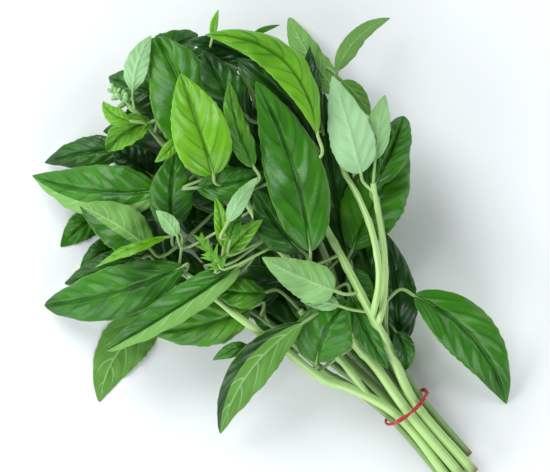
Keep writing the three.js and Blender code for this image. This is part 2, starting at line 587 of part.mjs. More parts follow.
// The flower buds at the end of one stem: a spike of small ovals
function buds(curve) {
  const parts = [];
  for (let i = 0; i < BUDS.count; i += 1) {
    const share = BUDS.from + (1 - BUDS.from) * (i / (BUDS.count - 1));
    const centre = curve.getPoint(Math.min(share, 1));
    const turn = BUDS.turn * i;
    const bud = new THREE.IcosahedronGeometry(BUDS.size, 0);
    bud.scale(1, 1, BUDS.long);
    bud.translate(BUDS.out * Math.cos(turn), BUDS.out * Math.sin(turn), (i % 3) - 1);
    bud.translate(centre.x, centre.y, centre.z);
    parts.push(solidOf(bud));
  }
  return wasm.Manifold.union(parts);
}

function stemRod(axis, extra) {
  const [thick, thin] = axis.radii;
  const rings = Math.max(4, Math.round(axis.length / ROD_PITCH));
  return rod(axis.curve, (share) => thick + (thin - thick) * share ** 1.4 + extra, 5, rings);
}

// Joins each stem with its stalks and blades. Blades are cut clear of the other stems and of
// the blades laid over them, and a scrap that a cut leaves loose is dropped.
function growStems({ stems, leaves }) {
  const names = Object.keys(stems);
  const wood = {};
  const woodRoom = {};
  for (const name of names) {
    wood[name] = wasm.Manifold.union(stems[name].axes.map((axis) => stemRod(axis, 0)));
    woodRoom[name] = wasm.Manifold.union(stems[name].axes.map((axis) => stemRod(axis, CLEARANCE)));
  }
  wood.centre_left = wood.centre_left.add(buds(stems.centre_left.axes[0].curve));
  for (const leaf of leaves) {
    const others = names.filter((name) => name !== leaf.stem);
    let best = null;
    for (const lift of STALK_LIFTS) {
      const thin = stalk(leaf, 0, lift);
      let clash = 0;
      for (const name of others) {
        if (boxesMeet(thin, woodRoom[name])) clash += thin.intersect(woodRoom[name]).volume();
      }
      if (!best || clash < best.clash - 1e-3) best = { clash, lift, thin };
      if (clash < 1e-3) break;
    }
    if (best.clash > 1e-3) others.forEach((name) => { best.thin = best.thin.subtract(woodRoom[name]); });
    wood[leaf.stem] = wood[leaf.stem].add(best.thin);
    woodRoom[leaf.stem] = woodRoom[leaf.stem].add(stalk(leaf, CLEARANCE, best.lift));
  }
  const solids = leaves.map((leaf) => ({
    leaf,
    solid: blade(leaf, BLADE),
    room: blade({ ...leaf, spare: CLEARANCE }, BLADE + 2 * CLEARANCE),
  }));
  const grown = { ...wood };
  solids.forEach((entry, i) => {
    let { solid } = entry;
    for (const name of names) {
      if (name !== entry.leaf.stem && boxesMeet(solid, woodRoom[name])) {
        solid = solid.subtract(woodRoom[name]);
      }
    }
    for (const above of solids.slice(i + 1)) {
      if (above.leaf.stem !== entry.leaf.stem && boxesMeet(solid, above.room)) {
        solid = solid.subtract(above.room);
      }
    }
    grown[entry.leaf.stem] = grown[entry.leaf.stem].add(solid);
  });
  const done = [];
  for (const name of names.reverse()) {
    grown[name] = cleanPiece(grown[name], done);
    done.push(grown[name]);
  }
  return grown;
}

// A solid clear of the others, without scraps, slivers, or folds that touch along an edge
function cleanPiece(solid, others) {
  const meets = (piece) => others.filter((other) => piece.intersect(other).volume() > OVERLAP);
  let piece = solid;
  for (const other of others) piece = piece.subtract(other);
  piece = largestPiece(piece).simplify(SLIVER);
  for (let i = 0; i < 4; i += 1) {
    for (const other of meets(piece)) piece = piece.subtract(other);
    piece = largestPiece(partFolds(piece));
    const slim = largestPiece(piece.simplify(SLIVER));
    if (sharedEdges(slim).length === 0 && meets(slim).length === 0) return slim;
  }
  return piece;
}

function largestPiece(solid) {
  return solid.decompose().sort((a, b) => b.volume() - a.volume())[0];
}

// The edges of a solid that more than two triangles share, each as its two ends
function sharedEdges(solid) {
  const { vertProperties, triVerts } = solid.getMesh();
  const pointOf = (i) => new THREE.Vector3().fromArray(vertProperties, 3 * i);
  const keyOf = (point) => point.toArray().map((value) => value.toFixed(5)).join(' ');
  const edges = new Map();
  for (let i = 0; i < triVerts.length; i += 3) {
    const corners = [0, 1, 2].map((k) => pointOf(triVerts[i + k]));
    corners.forEach((from, k) => {
      const to = corners[(k + 1) % 3];
      const key = [keyOf(from), keyOf(to)].sort().join('/');
      const edge = edges.get(key) ?? { from, to, count: 0 };
      edge.count += 1;
      edges.set(key, edge);
    });
  }
  return [...edges.values()].filter((edge) => edge.count > 2);
}

// Parts the folds of a solid that touch along a bare edge, with a fine groove along that edge
function partFolds(solid) {
  let parted = solid;
  for (const { from, to } of sharedEdges(solid)) {
    const way = to.clone().sub(from);
    const groove = new THREE.CylinderGeometry(GROOVE, GROOVE, way.length() + 2 * GROOVE, 4);
    groove.applyQuaternion(new THREE.Quaternion().setFromUnitVectors(UPRIGHT, way.normalize()));
    groove.translate(...from.clone().lerp(to, 0.5).toArray());
    parted = parted.subtract(solidOf(groove));
  }
  return parted;
}

function meshOf(name, solid, color, roughness) {
  const { vertProperties, triVerts } = solid.getMesh();
  const geometry = new THREE.BufferGeometry();
  geometry.setAttribute('position', new THREE.BufferAttribute(new Float32Array(vertProperties), 3));
  geometry.setIndex(new THREE.BufferAttribute(new Uint32Array(triVerts), 1));
  geometry.computeVertexNormals();
  const mesh = new THREE.Mesh(geometry, new THREE.MeshStandardMaterial({ color, roughness, metalness: 0 }));
  mesh.name = name;
  return mesh;
}

// The rubber band: a ring round the bundle, flattened to an oval and set a little askew
function rubberBand() {
  const geometry = new THREE.TorusGeometry(BAND.across, BAND.radius, 6, 20);
  const places = geometry.attributes.position;
  const flat = BAND.high / BAND.across;
  for (let i = 0; i < places.count; i += 1) {
    const angle = Math.atan2(places.getY(i), places.getX(i));
    const out = Math.hypot(places.getX(i), places.getY(i)) - BAND.across;
    const y = BAND.across * Math.cos(angle) + out * Math.cos(angle);
    const z = BAND.across * flat * Math.sin(angle) + out * Math.sin(angle);
    places.setXYZ(i, places.getZ(i) + BAND.sag * Math.sin(angle), y, z);
  }
  geometry.rotateZ(THREE.MathUtils.degToRad(BAND.slant));
  geometry.translate(0, 0, BAND.centre);
  return solidOf(geometry);
}

const laid = layBunch();
const grown = growStems(laid);
const bunch = new THREE.Group();
for (const [name, solid] of Object.entries(grown)) {
  bunch.add(meshOf(`leafy_stem_${name}`, solid, GREEN[STEMS[name].green], 0.5));
}
bunch.add(meshOf('rubber_band', rubberBand(), RUBBER, 0.6));

// The origin is on the surface, under the middle of the bunch
const extent = new THREE.Box3().setFromObject(bunch);
bunch.position.set(-(extent.min.x + extent.max.x) / 2, -(extent.min.y + extent.max.y) / 2, 0);

export default bunch;
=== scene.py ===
"""Looks of a bunch of cut basil that lies on its side, tied with a thin rubber band.

Layout is worked out in millimetres on the plan of the bunch, in the way the solids are laid up:
stems and leaves in turn, each resting on what lies below it. The finished meshes are in metres.
"""
from __future__ import annotations

import logging
import math
from dataclasses import dataclass, field
from enum import Enum

import bmesh
import bpy
from mathutils import Matrix, Vector, noise


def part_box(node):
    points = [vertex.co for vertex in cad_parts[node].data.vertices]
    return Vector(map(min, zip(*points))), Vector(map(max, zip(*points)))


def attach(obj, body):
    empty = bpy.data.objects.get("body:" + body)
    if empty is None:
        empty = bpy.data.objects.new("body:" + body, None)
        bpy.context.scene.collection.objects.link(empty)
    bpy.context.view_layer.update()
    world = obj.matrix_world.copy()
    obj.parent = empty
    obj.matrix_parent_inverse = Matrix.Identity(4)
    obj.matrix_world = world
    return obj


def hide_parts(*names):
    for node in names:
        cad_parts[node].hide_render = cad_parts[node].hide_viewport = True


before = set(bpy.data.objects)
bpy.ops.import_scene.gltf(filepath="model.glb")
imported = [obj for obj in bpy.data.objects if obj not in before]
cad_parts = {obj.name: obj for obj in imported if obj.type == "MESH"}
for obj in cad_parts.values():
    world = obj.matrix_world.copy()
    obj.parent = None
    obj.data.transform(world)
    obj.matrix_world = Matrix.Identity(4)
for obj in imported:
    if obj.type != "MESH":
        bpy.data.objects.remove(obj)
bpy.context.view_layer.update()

log = logging.getLogger("basil")

METRE = 0.001  # metres in a millimetre
FINEST = 1e-6  # lengths below this count as none

# The picture and its scale
POINT = 0.56  # millimetres for one picture point
TIE = (407, 408)  # picture point at the middle of the rubber band
PICTURE = (550, 472)  # picture size in points
BUNCH_TURN = math.radians(48.6)  # turn from the bunch's length to the picture's upright

# How the bunch lies, in millimetres
CELL = 3.0  # grain of the heap's heights
LAYER_GAP = 3.0  # from one layer's middle to the next
LAID_PITCH = 2.4  # spacing of the places where a blade covers the heap
PRESS = 3.4  # how far the lowest leaves' middles may sink under the arch of their blades
LEAF_FALL = 0.5  # steepest fall along a leaf
STEM_FALL = 0.3  # steepest fall along a stem
STIFF_LENGTH = 45.0  # stretch beyond the band that the band holds down
FAN_OUT = -30.0  # where the stems part
FIRST_LEAF = -38.0  # where the lowest leaf may grow
CROWN_MIDDLE = (212, 192)  # picture point
CROWN_ACROSS = 118.0
CROWN_DOWN = 128.0

# Leaves and stalks, in millimetres
FINE_BLADE = 0.34  # thickness
LEAST_HALF = 0.6  # least half width while a leaf is laid
FINE_HALF = 0.06  # least half width of the finished blade
STATIONS = 8  # steps along a leaf between its laid heights
BROAD_HALF = 9.0  # half width from which the relief has its full depth
CRUMPLE = 0.8
CRUMPLE_SCALE = 0.09
RIPPLE = 0.5
TEETH = 13
TOOTH = 0.02  # depth, as a share of half the width
ACROSS_POWER = 1.25  # gathers the grid's columns at the midrib
PETIOLE = 0.95  # stalk radius
STALK_DEPTH = 0.09  # share of the midrib that sets a stalk's direction
STALK_RISE = 0.35  # how fast a stalk may fall towards its stem
STALK_BEND = 12.0
STALK_LOW = 0.5  # least height of a stalk's middle under the blade
NODE_PITCH = 17.0
NODE_SWELL = 0.16  # as a share of the stem's radius
NODE_LENGTH = 2.4
FOOT_PITCH = 6.0
FOOT_BACK = 12.0  # how far behind a blade its stem is looked for
AXIS_PITCH = 9.0
SHOOT_BARE = 0.25  # share of a shoot without leaves

# Rubber band, in millimetres
BAND_ACROSS = 14.5
BAND_HIGH = 12.7
BAND_CENTRE = 14.9
BAND_SLANT = math.radians(-2)
BAND_SAG = 3.5


@dataclass(frozen=True)
class StemPlan:
    """Where one main stem runs, from its cut end to its top, in millimetres and picture points."""

    cut: tuple[float, float, float]
    tie: tuple[float, float]
    fan: tuple[float, float]
    way: tuple[tuple[float, float, float], ...]
    radii: tuple[float, float]
    slot: str


@dataclass(frozen=True)
class ShootPlan:
    """A side shoot: the stem it grows from, its way and its radii."""

    stem: str
    way: tuple[tuple[float, float, float], ...]
    radii: tuple[float, float]


@dataclass(frozen=True)
class StemTurn:
    """Says that a stem is laid on the heap at this point of the order."""

    stem: str


@dataclass(frozen=True)
class HiddenLeaves:
    """Says that a stem's hidden leaves are laid here, a pair at every so many nodes."""

    stem: str
    every: int


@dataclass(frozen=True)
class LeafPlan:
    """One leaf seen from above, in picture points, with the form of its blade.

    bow bends it sideways, arch raises its middle, roll and twist turn it about its midrib, fold
    and curl are the angle of each half at the midrib and its further bend (left, right), belly
    is lower where the blade is broadest nearer its base and drawn where its ends are rounder,
    root is where its stalk grows, under shows the pale underside, turned is the part of the
    width that shows the other side, and tone goes from deep (0) to fresh (1).
    """

    name: str
    stem: str
    base: tuple[float, float]
    tip: tuple[float, float]
    width: float
    bow: float = 0.0
    arch: float = 5.0
    roll: float = 0.0
    twist: float = 0.0
    fold: tuple[float, float] = (12.0, 12.0)
    curl: tuple[float, float] = (-30.0, -30.0)
    wave: float = 1.2
    belly: float = 0.74
    drawn: float = 0.8
    root: tuple[float, float] | None = None
    under: bool = False
    turned: tuple[float, float] = (0.0, 0.0)
    tone: float = 0.4


STEM_PLANS: dict[str, StemPlan] = {
    "low_left": StemPlan(cut=(50, -8.2, 2.35), tie=(-6.4, 8.3), fan=(-11.5, 6),
        way=((330, 362, 5), (275, 310, 5), (210, 260, 5), (150, 218, 5), (105, 182, 4)),
        radii=(2.3, 1.2), slot="leaf_deep"),
    "low_middle": StemPlan(cut=(54, -2.4, 2.55), tie=(-1, 7.1), fan=(-2, 6),
        way=((345, 345, 5), (300, 285, 5), (255, 205, 5), (215, 135, 5), (190, 80, 4)),
        radii=(2.5, 1.2), slot="leaf_deep"),
    "low_right": StemPlan(cut=(49, 2.9, 2.45), tie=(4.5, 7.6), fan=(8, 6),
        way=((366, 334, 5), (345, 275, 5), (325, 195, 5), (312, 130, 5), (305, 75, 4)),
        radii=(2.4, 1.2), slot="leaf_deep"),
    "left": StemPlan(cut=(47, -10.9, 7.6), tie=(-10.5, 14), fan=(-16, 14),
        way=((325, 372, 14), (268, 322, 15), (200, 282, 15), (135, 258, 12)),
        radii=(2.2, 1.2), slot="leaf_mid"),
    "centre_left": StemPlan(cut=(52, -5.6, 8.6), tie=(-5, 14.4), fan=(-6.5, 14.5),
        way=((338, 350, 16), (285, 268, 20), (225, 200, 22), (165, 146, 22), (140, 116, 22),
             (112, 90, 22)),
        radii=(2.4, 1.1), slot="leaf_mid"),
    "centre_right": StemPlan(cut=(32, 4.4, 11.5), tie=(1.2, 14.6), fan=(3, 15),
        way=((356, 338, 17), (325, 255, 22), (290, 180, 26), (262, 115, 26), (240, 70, 24)),
        radii=(2.4, 1.2), slot="leaf_mid"),
    "right": StemPlan(cut=(44, 8.8, 8.4), tie=(9.6, 14.6), fan=(15, 13.5),
        way=((386, 335, 14), (385, 285, 13), (383, 240, 12), (376, 196, 10)),
        radii=(2.2, 1.2), slot="leaf_mid"),
    "top_left": StemPlan(cut=(54, -9.6, 14.2), tie=(-6.8, 20.3), fan=(-17.2, 24),
        way=((324, 380, 26), (285, 350, 30), (250, 325, 33), (209, 292, 36), (178, 268, 38)),
        radii=(2.6, 1.7), slot="leaf_fresh"),
    "top_middle": StemPlan(cut=(51, -2.2, 15.2), tie=(-0.9, 22.3), fan=(2.3, 23.5),
        way=((354, 342, 25), (346, 314, 28), (318, 288, 32), (280, 250, 38), (250, 208, 42),
             (230, 168, 44)),
        radii=(2.8, 1.5), slot="leaf_fresh"),
    "top_right": StemPlan(cut=(53, 4.4, 14.2), tie=(5.3, 20.8), fan=(14.4, 26.5),
        way=((374, 320, 33), (345, 264, 41), (322, 221, 44), (302, 184, 44)),
        radii=(2.8, 1.7), slot="leaf_fresh"),
}

SHOOTS: tuple[ShootPlan, ...] = (
    ShootPlan("top_right", ((377, 325, 33), (382, 305, 37), (384, 262, 42), (378, 218, 44),
                            (372, 184, 45)), (1.9, 1.3)),
    ShootPlan("top_right", ((380, 312, 35), (378, 278, 40), (371, 232, 43), (356, 194, 43),
                            (342, 168, 41), (334, 110, 38), (331, 84, 34)), (1.9, 1)),
    ShootPlan("top_left", ((368, 397, 22.5), (345, 365, 25), (320, 338, 27), (300, 310, 29)),
              (2, 1.5)),
)

LAYERS: tuple[StemTurn | HiddenLeaves | LeafPlan, ...] = (
    StemTurn("low_left"),
    StemTurn("low_middle"),
    StemTurn("low_right"),
    HiddenLeaves("low_left", 2),
    HiddenLeaves("low_middle", 1),
    HiddenLeaves("low_right", 1),
    LeafPlan("spur", "low_left", (112, 148), (80, 174), 22, tone=0.45),
    LeafPlan("outer_top", "low_left", (126, 150), (42, 162), 34, bow=-3, arch=8, curl=(-50, -35),
             tone=0.2),
    LeafPlan("hanging", "low_left", (104, 209), (58, 247), 31, bow=-2, tone=0.5),
    LeafPlan("bluish", "low_left", (122, 244), (78, 270), 28, bow=-3, tone=0.3),
    LeafPlan("backdrop", "low_middle", (166, 96), (108, 76), 48, bow=2, tone=0.15),
    LeafPlan("crest", "low_middle", (146, 66), (198, 34), 38, bow=1, arch=8, drawn=0.6, tone=0.3),
    LeafPlan("crest_low", "low_middle", (176, 92), (228, 48), 48, bow=1, arch=6, tone=0.15),
    LeafPlan("crest_back", "low_middle", (186, 92), (242, 54), 46, arch=3, tone=0.1),
    LeafPlan("nook", "low_left", (152, 176), (112, 146), 36, arch=3, tone=0.1),
    LeafPlan("shade_low", "low_middle", (318, 348), (246, 300), 46, arch=4, tone=0.12),
    LeafPlan("shade_core", "low_middle", (338, 332), (278, 266), 42, arch=4, tone=0.1),
    LeafPlan("shade_mid", "low_right", (352, 335), (322, 240), 42, arch=4, tone=0.1),
    LeafPlan("nook_low", "low_left", (206, 280), (136, 250), 36, arch=3, tone=0.1),
    LeafPlan("shade_right", "low_right", (384, 330), (358, 230), 50, arch=4, tone=0.12),
    LeafPlan("gap_right", "low_right", (350, 262), (324, 92), 44, bow=5, arch=6, tone=0.15),
    LeafPlan("rib", "low_left", (161, 312), (97, 404), 50, bow=-13, arch=6, curl=(-25, -35),
             under=True, tone=0.1),
    LeafPlan("big_right", "right", (352, 250), (409, 146), 62, bow=4, arch=7, belly=0.85,
             tone=0.45),
    LeafPlan("lower_right", "right", (398, 348), (386, 234), 44, bow=-3, arch=6, tone=0.1),
    LeafPlan("curled_right", "right", (396, 332), (406, 371), 22, bow=4, fold=(30, 30), tone=0.2),
    LeafPlan("tall_right", "low_right", (338, 92), (290, 15), 32, bow=5, arch=8, roll=20, drawn=0.6,
             under=True, tone=0.3),
    LeafPlan("slim_dark", "low_right", (318, 116), (310, 46), 20, bow=3, tone=0.1),
    StemTurn("left"),
    StemTurn("centre_left"),
    StemTurn("centre_right"),
    StemTurn("right"),
    HiddenLeaves("left", 3),
    HiddenLeaves("centre_left", 3),
    HiddenLeaves("centre_right", 2),
    LeafPlan("glossy_low", "left", (250, 308), (150, 333), 48, bow=5, arch=8, curl=(-45, -30),
             tone=0.62),
    LeafPlan("notched", "left", (248, 345), (213, 360), 15, bow=-2, tone=0.3),
    LeafPlan("edge_left", "left", (140, 278), (91, 276), 24, bow=3, tone=0.5),
    LeafPlan("narrow_dark", "left", (142, 258), (62, 284), 36, bow=1, arch=6, tone=0.2),
    LeafPlan("outer_left", "centre_left", (160, 190), (30, 175), 56, bow=9, arch=9, curl=(-40, -30),
             turned=(0.45, 1), tone=0.5),
    LeafPlan("cupped", "centre_left", (151, 123), (107, 152), 36, bow=-5, arch=6, fold=(25, 25),
             curl=(30, 30), tone=0.75),
    LeafPlan("behind", "centre_left", (208, 150), (157, 37), 74, bow=-2, arch=12, fold=(12, 18),
             curl=(-20, -40), belly=0.68, drawn=0.65, wave=3, tone=0.5),
    LeafPlan("under_crest", "centre_right", (252, 64), (188, 43), 24, bow=-5, tone=0.1),
    LeafPlan("shade_top", "centre_right", (246, 116), (205, 52), 42, bow=4, tone=0.1),
    LeafPlan("tuft", "centre_right", (213, 40), (219, 11), 8, bow=1, tone=0.9),
    LeafPlan("twig_leaf", "centre_right", (252, 36), (280, 25), 6, bow=1, arch=3, tone=0.6),
    LeafPlan("dark_behind", "centre_right", (312, 142), (236, 60), 44, bow=-7, arch=6, tone=0.1),
    LeafPlan("bud_leaf", "centre_left", (134, 92), (152, 37), 24, bow=4, arch=6, under=True,
             tone=0.8),
    LeafPlan("rim", "centre_left", (132, 122), (104, 102), 18, bow=5, tone=0.8),
    LeafPlan("pale_left", "centre_left", (150, 248), (80, 205), 46, bow=-3, arch=8, fold=(20, 12),
             turned=(0.3, 1), under=True, tone=0.3),
    LeafPlan("middle_dark", "centre_left", (173, 230), (177, 152), 44, bow=3, arch=6, tone=0.3),
    LeafPlan("side_right", "right", (374, 186), (404, 116), 38, bow=-1, arch=6, belly=1, drawn=0.6,
             tone=0.35),
    LeafPlan("low_tuft", "low_right", (342, 81), (371, 116), 20, bow=2, under=True, tone=0.1),
    StemTurn("top_left"),
    StemTurn("top_middle"),
    LeafPlan("inner_tail", "top_middle", (352, 268), (374, 310), 26, bow=-2, tone=0.4),
    LeafPlan("right_tail", "top_middle", (350, 293), (388, 369), 26, bow=-3, fold=(30, 30),
             tone=0.45),
    StemTurn("top_right"),
    LeafPlan("grey_low", "top_left", (266, 292), (210, 285), 30, bow=4, tone=0.5),
    LeafPlan("wavy_dark", "top_middle", (198, 188), (268, 173), 34, bow=-3, wave=3, tone=0.4),
    LeafPlan("round_mid", "top_middle", (316, 362), (348, 300), 60, bow=6, arch=8, tone=0.42),
    LeafPlan("sharp_left", "top_left", (184, 266), (42, 306), 54, bow=7, arch=10, fold=(14, 10),
             curl=(-40, -40), belly=0.95, drawn=0.62, tone=0.4),
    LeafPlan("long_low", "top_middle", (303, 322), (220, 435), 41, bow=-14, arch=9, roll=-12,
             belly=0.9, under=True, turned=(-1, -0.45), tone=0.08),
    LeafPlan("folded_left", "top_left", (240, 266), (106, 351), 38, bow=2, arch=8, fold=(30, 8),
             curl=(20, -20), drawn=0.65, turned=(0.05, 1), tone=0.35),
    LeafPlan("edge_on", "top_left", (168, 237), (96, 267), 20, bow=-3, roll=58, tone=0.9),
    LeafPlan("second_blue", "top_middle", (300, 250), (256, 190), 42, bow=4, arch=6, tone=0.2),
    LeafPlan("right_jag", "top_right", (337, 72), (391, 17), 21, bow=9, arch=8, roll=25, under=True,
             tone=0.3),
    LeafPlan("central_blue", "top_right", (310, 252), (256, 83), 60, bow=-9, arch=10, fold=(12, 12),
             curl=(-25, -25), tone=0.4),
    LeafPlan("small_pale", "top_right", (338, 305), (300, 300), 18, bow=-2, under=True, tone=0.7),
    LeafPlan("tongue", "top_right", (334, 290), (262, 257), 40, bow=2, arch=7, fold=(8, 8),
             belly=0.55, under=True, tone=0.6),
    LeafPlan("hooked", "top_middle", (254, 168), (230, 83), 28, bow=5, arch=10, roll=30, tone=0.6),
    LeafPlan("pale_slim", "top_right", (374, 160), (385, 95), 26, bow=2, arch=7, under=True,
             tone=0.7),
    LeafPlan("pale_tall", "top_right", (360, 174), (332, 77), 46, bow=-1, arch=9, fold=(8, 8),
             belly=0.62, under=True, tone=1),
    LeafPlan("bright_mid", "top_middle", (226, 257), (263, 220), 20, bow=3, tone=0.85),
    LeafPlan("narrow_mid", "top_middle", (224, 247), (216, 197), 15, bow=-2, fold=(25, 25),
             tone=0.85),
    LeafPlan("dull_mid", "top_middle", (231, 240), (242, 212), 15, bow=2, tone=0.5),
    LeafPlan("torn_mid", "top_middle", (229, 222), (258, 178), 17, bow=2, under=True, tone=0.8),
    LeafPlan("small_left", "top_middle", (178, 236), (157, 211), 17, bow=-2, under=True, tone=0.8),
    LeafPlan("small_bright", "top_middle", (178, 140), (156, 163), 14, bow=2, roll=-20, tone=0.9),
    LeafPlan("upright", "top_middle", (214, 175), (181, 75), 58, bow=-1, arch=12, fold=(22, 22),
             curl=(-20, -20), belly=0.66, tone=0.88),
    LeafPlan("arching", "top_middle", (317, 136), (206, 37), 41, bow=-32, arch=14, roll=18,
             fold=(16, 6), curl=(-30, -50), belly=0.95, tone=0.82),
    LeafPlan("lone_right", "top_right", (413, 295), (509, 406), 54, bow=17, arch=9, fold=(16, 14),
             curl=(-30, -25), belly=0.8, root=(384, 313), tone=0.45),
)


class LeafSide(Enum):
    """The two faces of a blade."""

    UPPER = 0
    UNDER = 1


class Draws:
    """Numbers between 0 and 1 that are the same every run."""

    def __init__(self, seed: int = 20261) -> None:
        """Starts the row of draws.

        Args:
            seed: where the row starts.
        """
        self.state = seed

    def next(self) -> float:
        """Returns the next number."""
        self.state = (self.state * 16807) % 2147483647
        return self.state / 2147483647


def plan(spot: tuple[float, float]) -> Vector:
    """Turns a picture point into a place on the plan.

    Args:
        spot: x and y in picture points.

    Returns:
        The place in millimetres, with the band's middle at the origin.
    """
    x = (spot[0] - TIE[0]) * POINT
    y = -(spot[1] - TIE[1]) * POINT
    cos, sin = math.cos(BUNCH_TURN), math.sin(BUNCH_TURN)
    return Vector((x * cos - y * sin, x * sin + y * cos))


def smoothstep(value: float, low: float, high: float) -> float:
    """Returns 0 below low, 1 above high and an even change between them."""
    part = min(1.0, max(0.0, (value - low) / (high - low)))
    return part * part * (3 - 2 * part)


def ease_heights(heights: list[float], fall: float) -> None:
    """Raises the lower ones of a row of heights to keep to a fall, then evens the row.

    Args:
        heights: the row, changed in place.
        fall: the most that neighbours may differ by.
    """
    for i in range(1, len(heights)):
        heights[i] = max(heights[i], heights[i - 1] - fall)
    for i in range(len(heights) - 2, -1, -1):
        heights[i] = max(heights[i], heights[i + 1] - fall)
    before = list(heights)
    for i in range(1, len(heights) - 1):
        heights[i] = (before[i - 1] + 2 * before[i] + before[i + 1]) / 4


class Heap:
    """Heights of what already lies in the bunch, by cell of the plan."""

    def __init__(self) -> None:
        """Starts with the bare surface."""
        self.levels: dict[tuple[int, int], float] = {}

    @staticmethod
    def cell(x: float, y: float) -> tuple[int, int]:
        """Returns the cell that holds a place."""
        return math.floor(x / CELL + 0.5), math.floor(y / CELL + 0.5)

    def at(self, x: float, y: float) -> float:
        """Returns the highest level in and round a place's cell."""
        i, j = self.cell(x, y)
        top = -PRESS - LAYER_GAP
        for di in (-1, 0, 1):
            for dj in (-1, 0, 1):
                top = max(top, self.levels.get((i + di, j + dj), top))
        return top

    def copy(self) -> "Heap":
        """Returns a heap of its own with the same levels."""
        other = Heap()
        other.levels = dict(self.levels)
        return other

    def cover(self, x: float, y: float, z: float) -> None:
        """Raises a place's cell to z where it is lower."""
        key = self.cell(x, y)
        if z > self.levels.get(key, -1e9):
            self.levels[key] = z


class Spline:
    """A centripetal Catmull-Rom curve through points."""

    def __init__(self, points: list[Vector]) -> None:
        """Keeps the points.

        Args:
            points: what the curve passes through.
        """
        self.points = points

    def point(self, share: float) -> Vector:
        """Returns the point at a share of the curve, from 0 to 1."""
        pts = self.points
        last = len(pts) - 1
        place = last * min(1.0, max(0.0, share))
        i = min(int(math.floor(place)), last - 1)
        part = place - i
        p1, p2 = pts[i], pts[i + 1]
        p0 = pts[i - 1] if i > 0 else pts[0] * 2 - pts[1]
        p3 = pts[i + 2] if i + 2 <= last else pts[last] * 2 - pts[last - 1]
        d0 = (p0 - p1).length_squared ** 0.25
        d1 = (p1 - p2).length_squared ** 0.25
        d2 = (p2 - p3).length_squared ** 0.25
        d1 = d1 if d1 > 1e-4 else 1.0
        d0 = d0 if d0 > 1e-4 else d1
        d2 = d2 if d2 > 1e-4 else d1
        t1 = ((p1 - p0) / d0 - (p2 - p0) / (d0 + d1) + (p2 - p1) / d1) * d1
        t2 = ((p2 - p1) / d1 - (p3 - p1) / (d1 + d2) + (p3 - p2) / d2) * d1
        square, cube = part * part, part * part * part
        return (p1 * (2 * cube - 3 * square + 1) + t1 * (cube - 2 * square + part)
                + p2 * (3 * square - 2 * cube) + t2 * (cube - square))

    def tangent(self, share: float) -> Vector:
        """Returns the direction at a share of the curve."""
        low, high = max(0.0, share - 1e-4), min(1.0, share + 1e-4)
        return (self.point(high) - self.point(low)).normalized()

    def length(self) -> float:
        """Returns the length of the curve."""
        spots = [self.point(i / 200) for i in range(201)]
        return sum((b - a).length for a, b in zip(spots, spots[1:]))


@dataclass
class Axis:
    """A stem or shoot: its curve, its radii at both ends and the nodes that leaves grow from."""

    points: list[Vector]
    radii: tuple[float, float]
    free: float
    curve: Spline = field(init=False)
    length: float = field(init=False)
    nodes: list[tuple[float, float, float]] = field(init=False)

    def __post_init__(self) -> None:
        """Works out the curve and the nodes."""
        self.curve = Spline(self.points)
        self.length = self.curve.length()
        count = max(1, math.floor(self.length * (1 - self.free) / NODE_PITCH + 0.5))
        self.nodes = []
        for i in range(count + 1):
            share = self.free + (1 - self.free) * i / count - (0.01 if i == count else 0)
            spot = self.curve.point(share)
            self.nodes.append((share, spot.x, spot.y))

    def radius(self, share: float) -> float:
        """Returns the radius at a share of the axis."""
        thick, thin = self.radii
        return thick + (thin - thick) * share ** 1.4

    def laid(self, heap: Heap, radius: float) -> "Axis":
        """Returns this axis lifted smoothly over the heap, except near the band.

        Args:
            heap: what already lies in the bunch.
            radius: the radius that has to clear it.

        Returns:
            The lifted axis.
        """
        count = math.ceil(self.length / AXIS_PITCH)
        points = [self.curve.point(i / count) for i in range(count + 1)]
        lifts = []
        for spot in points:
            clear = heap.at(spot.x, spot.y) + LAYER_GAP + radius - spot.z
            loose = smoothstep(-spot.x, STIFF_LENGTH * 0.4, STIFF_LENGTH * 1.6)
            lifts.append(max(0.0, clear) * loose)
        ease_heights(lifts, STEM_FALL * self.length / count)
        for spot, lift in zip(points, lifts):
            spot.z += lift * smoothstep(-spot.x, STIFF_LENGTH * 0.2, STIFF_LENGTH * 1.2)
        axis = Axis(points, self.radii, self.free)
        for i in range(6 * count + 1):
            spot = axis.curve.point(i / (6 * count))
            heap.cover(spot.x, spot.y, spot.z + radius)
        return axis


@dataclass
class Foot:
    """Where a leaf's stalk grows from its stem."""

    axis: Axis
    share: float
    z: float
    stalk: float


@dataclass
class Rib:
    """The frame of a blade at one place along its midrib."""

    origin: Vector
    left: Vector
    up: Vector
    half: float


